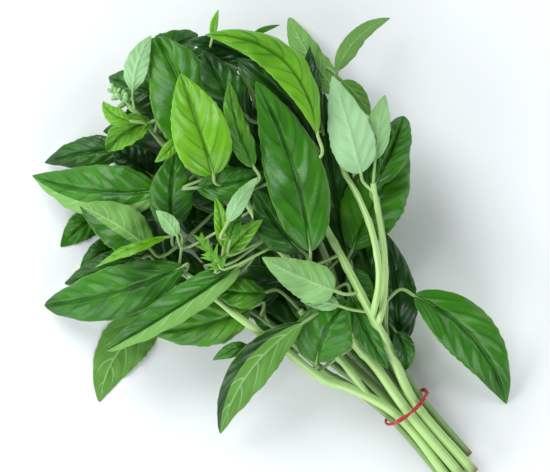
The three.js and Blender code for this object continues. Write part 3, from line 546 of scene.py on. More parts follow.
@dataclass
class Leaf:
    """A leaf in its place: the surface of its blade, and how it lies on the heap."""

    form: LeafPlan
    phase: float
    hidden: bool = False
    base: Vector = field(init=False)
    tip: Vector = field(init=False)
    control: Vector = field(init=False)
    width: float = field(init=False)
    length: float = field(init=False)
    foot: Foot | None = None
    heights: list[float] = field(default_factory=lambda: [0.0] * (STATIONS + 1))

    def __post_init__(self) -> None:
        """Places the leaf on the plan."""
        self.width = self.form.width * POINT
        self.place(plan(self.form.base), plan(self.form.tip), 2 * self.form.bow * POINT)

    def place(self, base: Vector, tip: Vector, bow: float) -> None:
        """Sets the leaf's two ends.

        Args:
            base: where the blade starts.
            tip: where it ends.
            bow: sideways shift of the midrib's control point.
        """
        way = tip - base
        self.base, self.tip, self.length = base, tip, way.length
        side = Vector((-way.y, way.x)).normalized() * bow
        self.control = (base + tip) / 2 + side

    def half_width(self, s: float, least: float = LEAST_HALF) -> float:
        """Returns half of the blade's width at share s of its length."""
        share = math.sin(math.pi * min(1.0, max(0.0, s)) ** self.form.belly)
        return max(least, 0.5 * self.width * max(0.0, share) ** self.form.drawn)

    def laid_height(self, s: float) -> float:
        """Returns the height at share s, smooth through the heights at the stations."""
        place = min(1.0, max(0.0, s)) * STATIONS
        i = min(int(math.floor(place)), STATIONS - 1)
        part = place - i
        row = self.heights
        before, after = row[max(0, i - 1)], row[min(STATIONS, i + 2)]
        slope_in, slope_out = (row[i + 1] - before) / 2, (after - row[i]) / 2
        square, cube = part * part, part * part * part
        return ((2 * cube - 3 * square + 1) * row[i] + (cube - 2 * square + part) * slope_in
                + (3 * square - 2 * cube) * row[i + 1] + (cube - square) * slope_out)

    def midrib(self, s: float) -> Vector:
        """Returns the midrib's point at share s of the leaf's length."""
        flat = (self.base * ((1 - s) * (1 - s)) + self.control * (2 * s * (1 - s))
                + self.tip * (s * s))
        return Vector((flat.x, flat.y, self.laid_height(s) + 4 * self.form.arch * s * (1 - s)))

    def rib(self, s: float, least: float = LEAST_HALF) -> Rib:
        """Returns the blade's frame at share s.

        Args:
            s: share of the leaf's length.
            least: the least half width.

        Returns:
            The frame, turned by the leaf's roll.
        """
        along = (self.midrib(s + 0.02) - self.midrib(s - 0.02)).normalized()
        left = Vector((-along.y, along.x, 0)).normalized()
        up = along.cross(left)
        roll = math.radians(self.form.roll + self.form.twist * s)
        cos, sin = math.cos(roll), math.sin(roll)
        return Rib(self.midrib(s), left * cos + up * sin, up * cos - left * sin,
                   self.half_width(s, least))

    def surface(self, rib: Rib, s: float, v: float) -> tuple[Vector, Vector]:
        """Returns a point of the blade's middle surface and its normal.

        Args:
            rib: the frame at s.
            s: share of the leaf's length.
            v: place across the blade, from -1 (right) to 1 (left).

        Returns:
            The point and the normal.
        """
        side = 0 if v > 0 else 1
        sign = 1.0 if v > 0 else -1.0
        fold = math.radians(self.form.fold[side])
        curl = math.radians(self.form.curl[side])
        reach = abs(v)
        angle = fold + curl * reach
        outward = (rib.half / curl) * (math.sin(angle) - math.sin(fold))
        rise = (rib.half / curl) * (math.cos(fold) - math.cos(angle))
        swing = math.sin(9 * s + self.phase + (0 if v > 0 else 2))
        rise += self.form.wave * swing * reach * reach * (rib.half / (rib.half + 6))
        point = rib.origin + rib.left * (sign * outward) + rib.up * rise
        normal = rib.left * (-sign * math.sin(angle)) + rib.up * math.cos(angle)
        return point, normal

    def lay(self, heap: Heap, stem: "LeafyStem") -> None:
        """Lays the leaf on the heap, hung from its stem if that is in place.

        Args:
            heap: what already lies in the bunch.
            stem: the stem it grows from.
        """
        needs = []
        for i in range(STATIONS + 1):
            s = i / STATIONS
            rib = self.rib(s)
            need = -PRESS
            for j in range(9):
                point, _ = self.surface(rib, s, -1 + j * 0.25)
                need = max(need, heap.at(point.x, point.y) + LAYER_GAP - point.z)
            needs.append(need)
        self.foot = stem.nearest_node(self)
        if stem.in_place:
            needs[0] = max(needs[0], self.foot.z - STALK_RISE * self.foot.stalk)
        ease_heights(needs, LEAF_FALL * self.length / STATIONS)
        self.heights = needs
        rows = math.ceil(self.length / LAID_PITCH)
        columns = math.ceil(self.width / LAID_PITCH)
        for i in range(rows + 1):
            rib = self.rib(i / rows)
            for j in range(columns + 1):
                point, _ = self.surface(rib, i / rows, 2 * j / columns - 1)
                heap.cover(point.x, point.y, point.z)


@dataclass
class LeafyStem:
    """A main stem with its shoots and leaves."""

    name: str
    axes: list[Axis]
    slot: str
    in_place: bool = False
    leaves: list[Leaf] = field(default_factory=list)

    def nearest_node(self, leaf: Leaf) -> Foot:
        """Returns the node that a leaf's stalk most likely grows from.

        Args:
            leaf: the leaf, placed on the plan.

        Returns:
            The foot of its stalk.
        """
        aim = (plan(leaf.form.root) if leaf.form.root
               else leaf.base + (leaf.base - leaf.control).normalized() * FOOT_BACK)
        best = None
        for axis in self.axes:
            count = math.ceil(axis.length * (1 - axis.free) / FOOT_PITCH)
            for i in range(count + 1):
                share = axis.free + (1 - axis.free) * 0.99 * i / count
                node = axis.curve.point(share)
                away = math.hypot(node.x - aim.x, node.y - aim.y)
                if best is None or away < best[0]:
                    best = (away, axis, share)
        spot = best[1].curve.point(best[2])
        stalk = math.hypot(spot.x - leaf.base.x, spot.y - leaf.base.y)
        return Foot(best[1], best[2], spot.z, stalk)

    def lay(self, heap: Heap) -> None:
        """Lays the stem and then its shoots on the heap.

        Args:
            heap: what already lies in the bunch.
        """
        self.axes = [self.axes[0].laid(heap, STEM_PLANS[self.name].radii[0])]
        self.in_place = True
        for shoot in SHOOTS:
            if shoot.stem != self.name:
                continue
            points = way_points(shoot.way)
            start = nearest_point(self.axes[0].curve, points[0])
            shift = start.z - points[0].z
            for i, spot in enumerate(points):
                spot.z += shift * (1 - i / len(points))
            points[0] = start.copy()
            axis = Axis(points, shoot.radii, SHOOT_BARE).laid(heap, shoot.radii[0])
            axis.points[0] = start.copy()
            self.axes.append(Axis(axis.points, shoot.radii, SHOOT_BARE))


def way_points(way: tuple[tuple[float, float, float], ...]) -> list[Vector]:
    """Turns picture points with heights into places of the plan."""
    spots = []
    for px, py, z in way:
        flat = plan((px, py))
        spots.append(Vector((flat.x, flat.y, z)))
    return spots


def nearest_point(curve: Spline, aim: Vector) -> Vector:
    """Returns the point of a curve that is nearest to a place on the plan."""
    spots = [curve.point(i / 200) for i in range(201)]
    return min(spots, key=lambda spot: math.hypot(spot.x - aim.x, spot.y - aim.y)).copy()


@dataclass
class Sprig:
    """A young shoot tip: a short stalk with slim leaflets to both sides, each higher by a rise."""

    stem: str = "top_middle"
    foot: tuple[float, float] = (223, 269)
    top: tuple[float, float] = (204, 243)
    count: int = 20
    length: float = 19.0
    width: float = 3.6
    rise: float = 0.25

    def grow(self, heap: Heap, stems: dict[str, LeafyStem]) -> list[Leaf]:
        """Lays the leaflets.

        Args:
            heap: what already lies in the bunch.
            stems: the stems by name.

        Returns:
            The leaflets.
        """
        leaflets = []
        run = Vector(self.top) - Vector(self.foot)
        heading = math.atan2(run.y, run.x)
        for i in range(self.count):
            share = (i // 2) / (self.count / 2)
            spot = Vector(self.foot) + run * share
            turn = heading + (1 if i % 2 else -1) * (0.95 - 0.75 * share)
            reach = self.length * (0.7 + 0.3 * math.sin(math.pi * share + i))
            tip = spot + Vector((math.cos(turn), math.sin(turn))) * reach
            form = LeafPlan(f"leaflet_{i}", self.stem, tuple(spot), tuple(tip), self.width,
                            bow=1.2 if i % 2 else -1.2, arch=2.0, wave=0.2, fold=(30, 30),
                            tone=0.75)
            leaflets.append(Leaf(form, i * 1.3))
        for i, leaflet in enumerate(leaflets):
            leaflet.lay(heap.copy(), stems[self.stem])
            leaflet.heights = [height + self.rise * i for height in leaflet.heights]
        return leaflets


class Bunch:
    """The whole bunch, laid up from the surface."""

    def __init__(self) -> None:
        """Lays up every stem and leaf in order."""
        self.heap = Heap()
        self.draws = Draws()
        self.stems = {name: self.plan_stem(name, entry) for name, entry in STEM_PLANS.items()}
        for index, entry in enumerate(LAYERS):
            if isinstance(entry, StemTurn):
                self.stems[entry.stem].lay(self.heap)
                continue
            if isinstance(entry, HiddenLeaves):
                added = self.hidden_leaves(entry)
            else:
                added = [Leaf(entry, index * 1.7)]
            for leaf in added:
                stem = self.stems[leaf.form.stem]
                leaf.lay(self.heap, stem)
                stem.leaves.append(leaf)
        self.sprig = Sprig().grow(self.heap, self.stems)

    @staticmethod
    def plan_stem(name: str, entry: StemPlan) -> LeafyStem:
        """Makes a stem from its plan, not yet laid.

        Args:
            name: the stem's name.
            entry: its plan.

        Returns:
            The stem.
        """
        bundle = [Vector(entry.cut), Vector((0, *entry.tie)), Vector((FAN_OUT, *entry.fan))]
        points = bundle + way_points(entry.way)
        whole = Spline(points)
        free = next((i / 100 for i in range(101) if whole.point(i / 100).x < FIRST_LEAF), 1.0)
        return LeafyStem(name, [Axis(points, entry.radii, min(0.6, free))], entry.slot)

    def hidden_leaves(self, entry: HiddenLeaves) -> list[Leaf]:
        """Makes pairs of leaves at a stem's nodes, inside the crown, at drawn angles.

        Args:
            entry: the stem and how often a pair comes.

        Returns:
            The leaves, not yet laid.
        """
        leaves = []
        axis = self.stems[entry.stem].axes[0]
        centre = plan(CROWN_MIDDLE)
        for i, (share, x, y) in enumerate(axis.nodes):
            if i < 3 or i % entry.every > 0:
                continue
            for side in (-1, 1):
                tangent = axis.curve.tangent(share)
                heading = math.atan2(tangent.y, tangent.x) + side * (0.6 + 0.7 * self.draws.next())
                length = 42 + 16 * self.draws.next()
                way = Vector((math.cos(heading), math.sin(heading)))
                base = Vector((x, y)) + way * 7
                tip = base + way * length
                out = math.hypot((tip.x - centre.x) / CROWN_DOWN, (tip.y - centre.y) / CROWN_ACROSS)
                if out > POINT:
                    continue
                # The low tone paints these inner leaves deep green: partly their own colour, partly
                # painted shade inside the crown.
                form = LeafPlan(f"fill_{i}", entry.stem, TIE, TIE, length * 0.5 / POINT, tone=0.1)
                leaf = Leaf(form, i * 1.7, hidden=True)
                leaf.place(base, tip, 0.0)
                leaves.append(leaf)
        return leaves


@dataclass(frozen=True)
class Finish:
    """A look of one surface: base colour, roughness and specular level."""

    name: str
    colour: tuple[float, float, float]
    roughness: float = 0.5
    specular: float = 0.5

    def start(self) -> tuple[bpy.types.Material, bpy.types.NodeTree, bpy.types.Node]:
        """Makes the material with its main shader set to this finish.

        Returns:
            The material, its node tree and its main shader.
        """
        material = bpy.data.materials.new(self.name)
        material.use_nodes = True
        tree = material.node_tree
        shader = tree.nodes["Principled BSDF"]
        shader.inputs["Base Color"].default_value = (*self.colour, 1)
        shader.inputs["Roughness"].default_value = self.roughness
        shader.inputs["Specular IOR Level"].default_value = self.specular
        return material, tree, shader


class Graph:
    """Short ways to add shader nodes to one tree."""

    def __init__(self, tree: bpy.types.NodeTree) -> None:
        """Keeps the tree.

        Args:
            tree: where the nodes go.
        """
        self.tree = tree

    def wire(self, source: object, target: bpy.types.NodeSocket) -> None:
        """Joins a socket to another, or sets a plain value.

        Args:
            source: an output socket, a number or a colour.
            target: the input.
        """
        if isinstance(source, bpy.types.NodeSocket):
            self.tree.links.new(source, target)
        elif source is not None:
            target.default_value = source

    def maths(self, kind: str, a: object, b: object = None, clamp: bool = False) -> object:
        """Adds a sum and returns its result.

        Args:
            kind: Blender's name for the sum.
            a: its first value.
            b: its second value.
            clamp: whether the result is kept between 0 and 1.

        Returns:
            The output socket.
        """
        node = self.tree.nodes.new("ShaderNodeMath")
        node.operation = kind
        node.use_clamp = clamp
        self.wire(a, node.inputs[0])
        self.wire(b, node.inputs[1])
        return node.outputs[0]

    def remap(self, value: object, low: float, high: float, start: float = 0.0,
              end: float = 1.0) -> object:
        """Returns a smooth change of a value from one range to another.

        Args:
            value: the value.
            low: where the change starts.
            high: where it ends.
            start: the result below low.
            end: the result above high.

        Returns:
            The output socket.
        """
        node = self.tree.nodes.new("ShaderNodeMapRange")
        node.interpolation_type = "SMOOTHSTEP"
        self.wire(value, node.inputs["Value"])
        for key, number in (("From Min", low), ("From Max", high), ("To Min", start),
                            ("To Max", end)):
            node.inputs[key].default_value = number
        return node.outputs["Result"]

    def mix(self, share: object, a: object, b: object) -> object:
        """Returns a mix of two colours.

        Args:
            share: how much of the second.
            a: the first colour.
            b: the second colour.

        Returns:
            The output socket.
        """
        node = self.tree.nodes.new("ShaderNodeMix")
        node.data_type = "RGBA"
        self.wire(share, node.inputs["Factor"])
        self.wire(a, node.inputs[6])
        self.wire(b, node.inputs[7])
        return node.outputs[2]

    def noise(self, scale: float, detail: float = 2.0, vector: object = None) -> object:
        """Returns an even random pattern.

        Args:
            scale: how fine it is.
            detail: how rough it is.
            vector: coordinates, else the object's own.

        Returns:
            The output socket.
        """
        node = self.tree.nodes.new("ShaderNodeTexNoise")
        node.inputs["Scale"].default_value = scale
        node.inputs["Detail"].default_value = detail
        self.wire(vector if vector is not None else self.coordinates("Object"),
                  node.inputs["Vector"])
        return node.outputs["Fac"]

    def coordinates(self, kind: str) -> object:
        """Returns texture coordinates of the named kind."""
        return self.tree.nodes.new("ShaderNodeTexCoord").outputs[kind]

    def attribute(self, name: str) -> object:
        """Returns a value that the mesh carries under the name."""
        node = self.tree.nodes.new("ShaderNodeAttribute")
        node.attribute_name = name
        return node.outputs["Fac"]

    def bump(self, height: object, strength: float, distance: float) -> object:
        """Returns a normal bent by a height pattern.

        Args:
            height: the pattern.
            strength: how strong, from 0 to 1.
            distance: how deep, in metres.

        Returns:
            The output socket.
        """
        node = self.tree.nodes.new("ShaderNodeBump")
        node.inputs["Strength"].default_value = strength
        node.inputs["Distance"].default_value = distance
        self.wire(height, node.inputs["Height"])
        return node.outputs["Normal"]


def rgb(red: int, green: int, blue: int) -> tuple[float, float, float]:
    """Turns a screen colour (0 to 255) into linear light."""
    parts = [value / 255 for value in (red, green, blue)]
    return tuple(v / 12.92 if v <= 0.04045 else ((v + 0.055) / 1.055) ** 2.4 for v in parts)


@dataclass(frozen=True)
class LeafFinish(Finish):
    """Skin of a blade: green by tone, midrib and side veins paler beneath, fine puckers; on the
    upper side painted shade darkens the vein grooves and painted light lifts the cushions between.
    """

    deep: tuple[float, float, float] = rgb(20, 60, 10)
    middle: tuple[float, float, float] = rgb(52, 118, 12)
    fresh: tuple[float, float, float] = rgb(108, 172, 30)
    vein_tint_and_groove_shade: tuple[float, float, float] = rgb(24, 66, 10)
    vein_tint_and_groove_shade_share: float = 0.5
    rim: tuple[float, float, float] = rgb(150, 195, 60)
    pucker: float = 0.12

    def build(self) -> bpy.types.Material:
        """Makes the material.

        Returns:
            The material.
        """
        material, tree, shader = self.start()
        graph = Graph(tree)
        tone = graph.attribute("tone")
        cloud = graph.noise(38, 2)
        lines, edge, cushion_light_mask = self.veins(graph)
        mottle = graph.maths("MULTIPLY", graph.maths("SUBTRACT", cloud, 0.5), 0.75)
        # Lighter on the cushions between the side veins, darker next to them: painted light and
        # shade of the puckers.
        painted_cushion_light = graph.maths("MULTIPLY", graph.maths("SUBTRACT", cushion_light_mask, 0.6), 0.08)
        shade = graph.maths("ADD", graph.maths("ADD", tone, mottle), painted_cushion_light)
        low = graph.mix(graph.remap(shade, 0.0, 0.5), (*self.deep, 1), (*self.middle, 1))
        green = graph.mix(graph.remap(shade, 0.45, 1.0), low, (*self.fresh, 1))
        # The vein colour is the veins' own paler colour on the underside; on the upper side it is
        # darker green, painted shade in the vein grooves.
        share = graph.maths("MULTIPLY", lines, self.vein_tint_and_groove_shade_share)
        with_veins_and_groove_shade = graph.mix(share, green, (*self.vein_tint_and_groove_shade, 1))
        colour = graph.mix(graph.maths("MULTIPLY", edge, 0.35), with_veins_and_groove_shade, (*self.rim, 1))
        graph.wire(colour, shader.inputs["Base Color"])
        rough = graph.remap(graph.noise(160, 3), 0.3, 0.7, self.roughness - 0.06,
                            self.roughness + 0.09)
        graph.wire(rough, shader.inputs["Roughness"])
        cells = tree.nodes.new("ShaderNodeTexVoronoi")
        cells.feature = "DISTANCE_TO_EDGE"
        cells.inputs["Scale"].default_value = 420
        graph.wire(graph.coordinates("Object"), cells.inputs["Vector"])
        skin = graph.remap(cells.outputs["Distance"], 0.0, 0.25)
        height = graph.maths("ADD", skin, graph.maths("MULTIPLY", graph.noise(260, 2), 1.2))
        graph.wire(graph.bump(height, self.pucker, 0.0003), shader.inputs["Normal"])
        return material

    @staticmethod
    def veins(graph: Graph) -> tuple[object, object, object]:
        """Returns patterns that are 1 on the veins, along the rim, and between the veins, where the
        cushions get painted light.

        Args:
            graph: where the nodes go.

        Returns:
            The three output sockets.
        """
        parts = graph.tree.nodes.new("ShaderNodeSeparateXYZ")
        graph.wire(graph.coordinates("UV"), parts.inputs[0])
        across, along = parts.outputs[0], parts.outputs[1]
        x = graph.maths("SUBTRACT", graph.maths("MULTIPLY", across, 2.0), 1.0)
        reach = graph.maths("POWER", graph.maths("ABSOLUTE", x), ACROSS_POWER)
        right = graph.maths("GREATER_THAN", x, 0.0)
        bend = graph.maths("MULTIPLY", graph.maths("POWER", reach, VEINS.bend), VEINS.lean)
        ease = graph.maths("SUBTRACT", 1.0, graph.maths("MULTIPLY", along, 0.5))
        start = graph.maths("SUBTRACT", along, graph.maths("MULTIPLY", bend, ease))
        place = graph.maths("ADD", graph.maths("MULTIPLY", start, VEINS.pairs),
                            graph.maths("MULTIPLY", right, VEINS.stagger))
        off = graph.maths("ABSOLUTE", graph.maths("SUBTRACT", graph.maths("FRACT", place), 0.5))
        side = graph.remap(off, 0.42, 0.5)
        fade = graph.remap(reach, 0.5, 0.95, 1.0, 0.0)
        middle = graph.remap(reach, 0.015, 0.07, 1.0, 0.0)
        lines = graph.maths("MAXIMUM", middle, graph.maths("MULTIPLY", side, fade))
        # Between the veins: where the painted light on the cushions goes.
        cushion_light_mask = graph.remap(off, 0.1, 0.5, 1.0, 0.0)
        return lines, graph.remap(reach, 0.95, 1.0), cushion_light_mask


@dataclass(frozen=True)
class StalkFinish(Finish):
    """Skin of stems and stalks: pale green with lengthwise streaks, darker near the cut end, and
    darker green by low tone, which is painted shade on the stems low in the heap and stalks inside.
    """

    streak: tuple[float, float, float] = rgb(134, 182, 84)
    cut: tuple[float, float, float] = rgb(130, 110, 60)

    def build(self) -> bpy.types.Material:
        """Makes the material.

        Returns:
            The material.
        """
        material, tree, shader = self.start()
        graph = Graph(tree)
        stretch = tree.nodes.new("ShaderNodeMapping")
        stretch.inputs["Scale"].default_value = (7, 0.9, 1)
        graph.wire(graph.coordinates("UV"), stretch.inputs["Vector"])
        lines = graph.noise(3, 3, stretch.outputs[0])
        cloud = graph.noise(60, 2)
        share = graph.maths("MULTIPLY", graph.remap(lines, 0.35, 0.7), 0.75)
        base = graph.mix(share, (*self.colour, 1), (*self.streak, 1))
        tone = graph.attribute("tone")
        # A low tone darkens the green: painted shade on the stems low in the heap and on the stalks
        # of deep leaves inside.
        painted_shade_green = graph.mix(graph.maths("MULTIPLY", graph.maths("SUBTRACT", 1.0, tone), 0.7), base,
                         (*rgb(38, 78, 26), 1))
        patches = graph.remap(cloud, 0.3, 0.6, 0.4, 1)
        brown = graph.maths("MULTIPLY", graph.attribute("cut"), patches)
        graph.wire(graph.mix(brown, painted_shade_green, (*self.cut, 1)), shader.inputs["Base Color"])
        height = graph.maths("ADD", lines, graph.maths("MULTIPLY", graph.noise(500, 2), 0.3))
        graph.wire(graph.bump(height, 0.4, 0.0003), shader.inputs["Normal"])
        return material


@dataclass(frozen=True)
class RubberFinish(Finish):
    """Red rubber, a little dusty and worn."""

    worn: tuple[float, float, float] = rgb(225, 130, 130)

    def build(self) -> bpy.types.Material:
        """Makes the material.

        Returns:
            The material.
        """
        material, tree, shader = self.start()
        graph = Graph(tree)
        cloud = graph.remap(graph.noise(300, 4), 0.45, 0.75)
        share = graph.maths("MULTIPLY", cloud, 0.5)
        colour = graph.mix(share, (*self.colour, 1), (*self.worn, 1))
        graph.wire(colour, shader.inputs["Base Color"])
        graph.wire(graph.bump(graph.noise(900, 3), 0.3, 0.0002), shader.inputs["Normal"])
        return material


@dataclass(frozen=True)
class Veins:
    """Relief of a basil blade: side veins in pairs that run forward to the rim."""

    pairs: float = 5.0
    stagger: float = 0.3
    lean: float = 0.42
    bend: float = 1.6
    puff: float = 1.3
    groove: float = 0.8

    def height(self, s: float, v: float, half: float) -> float:
        """Returns how far the skin stands proud at a place of the blade.

        Args:
            s: share of the leaf's length.
            v: place across the blade, from -1 (right) to 1 (left).
            half: half of the blade's width there, in millimetres.

        Returns:
            The height in millimetres.
        """
        reach = abs(v)
        start = s - self.lean * reach ** self.bend * (1 - 0.5 * s)
        place = self.pairs * start + (0 if v > 0 else self.stagger)
        swell = abs(math.sin(math.pi * (place - 0.5))) ** 0.7
        spread = min(1.0, reach * 5) * (1 - reach ** 3) ** 0.5
        rib = math.exp(-((reach * half / 0.9) ** 2))
        size = min(1.0, half / BROAD_HALF)
        return size * (self.puff * swell * spread - self.groove * rib)


VEINS = Veins()
STALK_SKIN = 2  # index of the stalk's finish, after the two sides of a blade


class Shape:
    """A mesh under construction, in metres, with the layers that the finishes read."""

    def __init__(self, origin: Vector) -> None:
        """Starts empty.

        Args:
            origin: place on the plan, in millimetres, that becomes the object's origin.
        """
        self.origin = origin
        self.bm = bmesh.new()
        self.uv = self.bm.loops.layers.uv.new("UVMap")
        self.tone = self.bm.verts.layers.float.new("tone")
        self.cut = self.bm.verts.layers.float.new("cut")

    def place(self, spot: Vector) -> Vector:
        """Turns a place of the plan into the object's metres."""
        return (spot - self.origin) * METRE

    def grid(self, across: int, along: int) -> list[bmesh.types.BMVert]:
        """Adds a grid over x and y from -1 to 1 and returns its vertices."""
        made = bmesh.ops.create_grid(self.bm, x_segments=across, y_segments=along, size=1.0,
                                     calc_uvs=True)
        return made["verts"]

    def tube(self, curve: Spline, radius: object, sides: int, rings: int, tone: float,
             skin: int, cut: float = 0.0) -> None:
        """Adds a closed rod along a curve.

        Args:
            curve: its middle.
            radius: gives the radius at a share of the curve and an angle.
            sides: faces round it.
            rings: faces along it.
            tone: how fresh its green is; a low tone also paints shade.
            skin: index of its finish.
            cut: share of the curve over which the start is browned.
        """
        verts = self.grid(sides, rings)
        frames: dict[float, tuple[Vector, Vector, Vector]] = {}
        for vert in verts:
            share = min(1.0, max(0.0, (vert.co.y + 1) / 2))
            angle = math.pi * vert.co.x
            key = round(share, 6)
            if key not in frames:
                along = curve.tangent(share)
                left = Vector((-along.y, along.x, 0))
                left = left.normalized() if left.length > FINEST else Vector((0, 1, 0))
                frames[key] = (curve.point(share), left, along.cross(left))
            centre, left, up = frames[key]
            out = left * math.cos(angle) + up * math.sin(angle)
            vert.co = self.place(centre + out * radius(share, angle))
            vert[self.tone] = tone
            vert[self.cut] = max(0.0, 1 - share / cut) if cut > 0 else 0.0
        faces = {face for vert in verts for face in vert.link_faces}
        for face in faces:
            face.smooth = True
            face.material_index = skin
        bmesh.ops.remove_doubles(self.bm, verts=verts, dist=2e-6)
        left_over = [vert for vert in verts if vert.is_valid]
        rims = [edge for vert in left_over for edge in vert.link_edges if edge.is_boundary]
        caps = bmesh.ops.holes_fill(self.bm, edges=list(set(rims)), sides=0)["faces"]
        for cap in caps:
            cap.smooth = False
            cap.material_index = skin

    def blade(self, leaf: Leaf, across: int, along: int) -> None:
        """Adds a leaf's blade with its veins and swellings.

        Args:
            leaf: the leaf, laid in place.
            across: faces across it.
            along: faces along it.
        """
        verts = self.grid(across, along)
        seen, away = ((LeafSide.UNDER, LeafSide.UPPER) if leaf.form.under
                      else (LeafSide.UPPER, LeafSide.UNDER))
        flip = -0.7 if leaf.form.under else 1.0
        ribs: dict[float, Rib] = {}
        stretch = 0.82 + 0.36 * (0.37 * leaf.phase % 1)
        for vert in verts:
            s = min(1.0, max(0.0, (vert.co.y + 1) / 2))
            v = -math.copysign(abs(vert.co.x) ** ACROSS_POWER, vert.co.x)
            key = round(s, 6)
            if key not in ribs:
                ribs[key] = leaf.rib(s, FINE_HALF)
            rib = ribs[key]
            jag = math.sin(TEETH * math.tau * s + leaf.phase) * math.sin(5 * s + 2 * leaf.phase)
            point, normal = leaf.surface(rib, s, v * (1 + TOOTH * abs(v) ** 3 * jag))
            broad = min(1, rib.half / BROAD_HALF)
            lift = flip * VEINS.height(s * stretch, v, rib.half)
            lift += CRUMPLE * broad * noise.noise(point * CRUMPLE_SCALE)
            ripple = RIPPLE * math.sin(31 * s + 3 * leaf.phase) * abs(v) ** 4 * broad
            point += normal * (lift + ripple)
            point.z = max(point.z, FINE_BLADE)
            vert.co = self.place(point)
            vert[self.tone] = leaf.form.tone
        faces = list({face for vert in verts for face in vert.link_faces})
        low, high = leaf.form.turned
        for face in faces:
            face.smooth = True
            x = 1 - 2 * sum(loop[self.uv].uv.x for loop in face.loops) / len(face.loops)
            v = math.copysign(abs(x) ** ACROSS_POWER, x)
            face.material_index = (away if low < v < high else seen).value
            for loop in face.loops:
                loop[self.uv].uv.y *= stretch
        made = bmesh.ops.solidify(self.bm, geom=faces, thickness=FINE_BLADE * METRE)
        fresh = [part for part in made["geom"] if isinstance(part, bmesh.types.BMFace)]
        for face in fresh:
            face.smooth = True
            face.material_index = away.value

    def finish(self, name: str, finishes: list[bpy.types.Material]) -> bpy.types.Object:
        """Turns the mesh into an object.

        Args:
            name: the object's name.
            finishes: its materials, by index.

        Returns:
            The object.
        """
        mesh = bpy.data.meshes.new(name)
        self.bm.to_mesh(mesh)
        self.bm.free()
        for finish in finishes:
            mesh.materials.append(finish)
        piece = bpy.data.objects.new(name, mesh)
        bpy.context.scene.collection.objects.link(piece)
        return piece


@dataclass
class Palette:
    """The materials that all pieces share."""

    upper: bpy.types.Material
    under: bpy.types.Material
    stalk: bpy.types.Material
    rubber: bpy.types.Material

    @classmethod
    def mix(cls) -> "Palette":
        """Makes every material."""
        upper = LeafFinish("leaf_upper", rgb(42, 98, 18), 0.34, 0.34)
        under = LeafFinish("leaf_under", rgb(120, 160, 100), 0.6, 0.25, deep=rgb(90, 142, 52),
                           middle=rgb(118, 168, 82), fresh=rgb(160, 204, 148),
                           vein_tint_and_groove_shade=rgb(185, 216, 160), vein_tint_and_groove_shade_share=0.4, rim=rgb(150, 185, 110),
                           pucker=0.2)
        return cls(
            upper.build(),
            under.build(),
            StalkFinish("stalk", rgb(192, 224, 146), 0.35, 0.5).build(),
            RubberFinish("band", rgb(170, 38, 46), 0.5, 0.4).build(),
        )


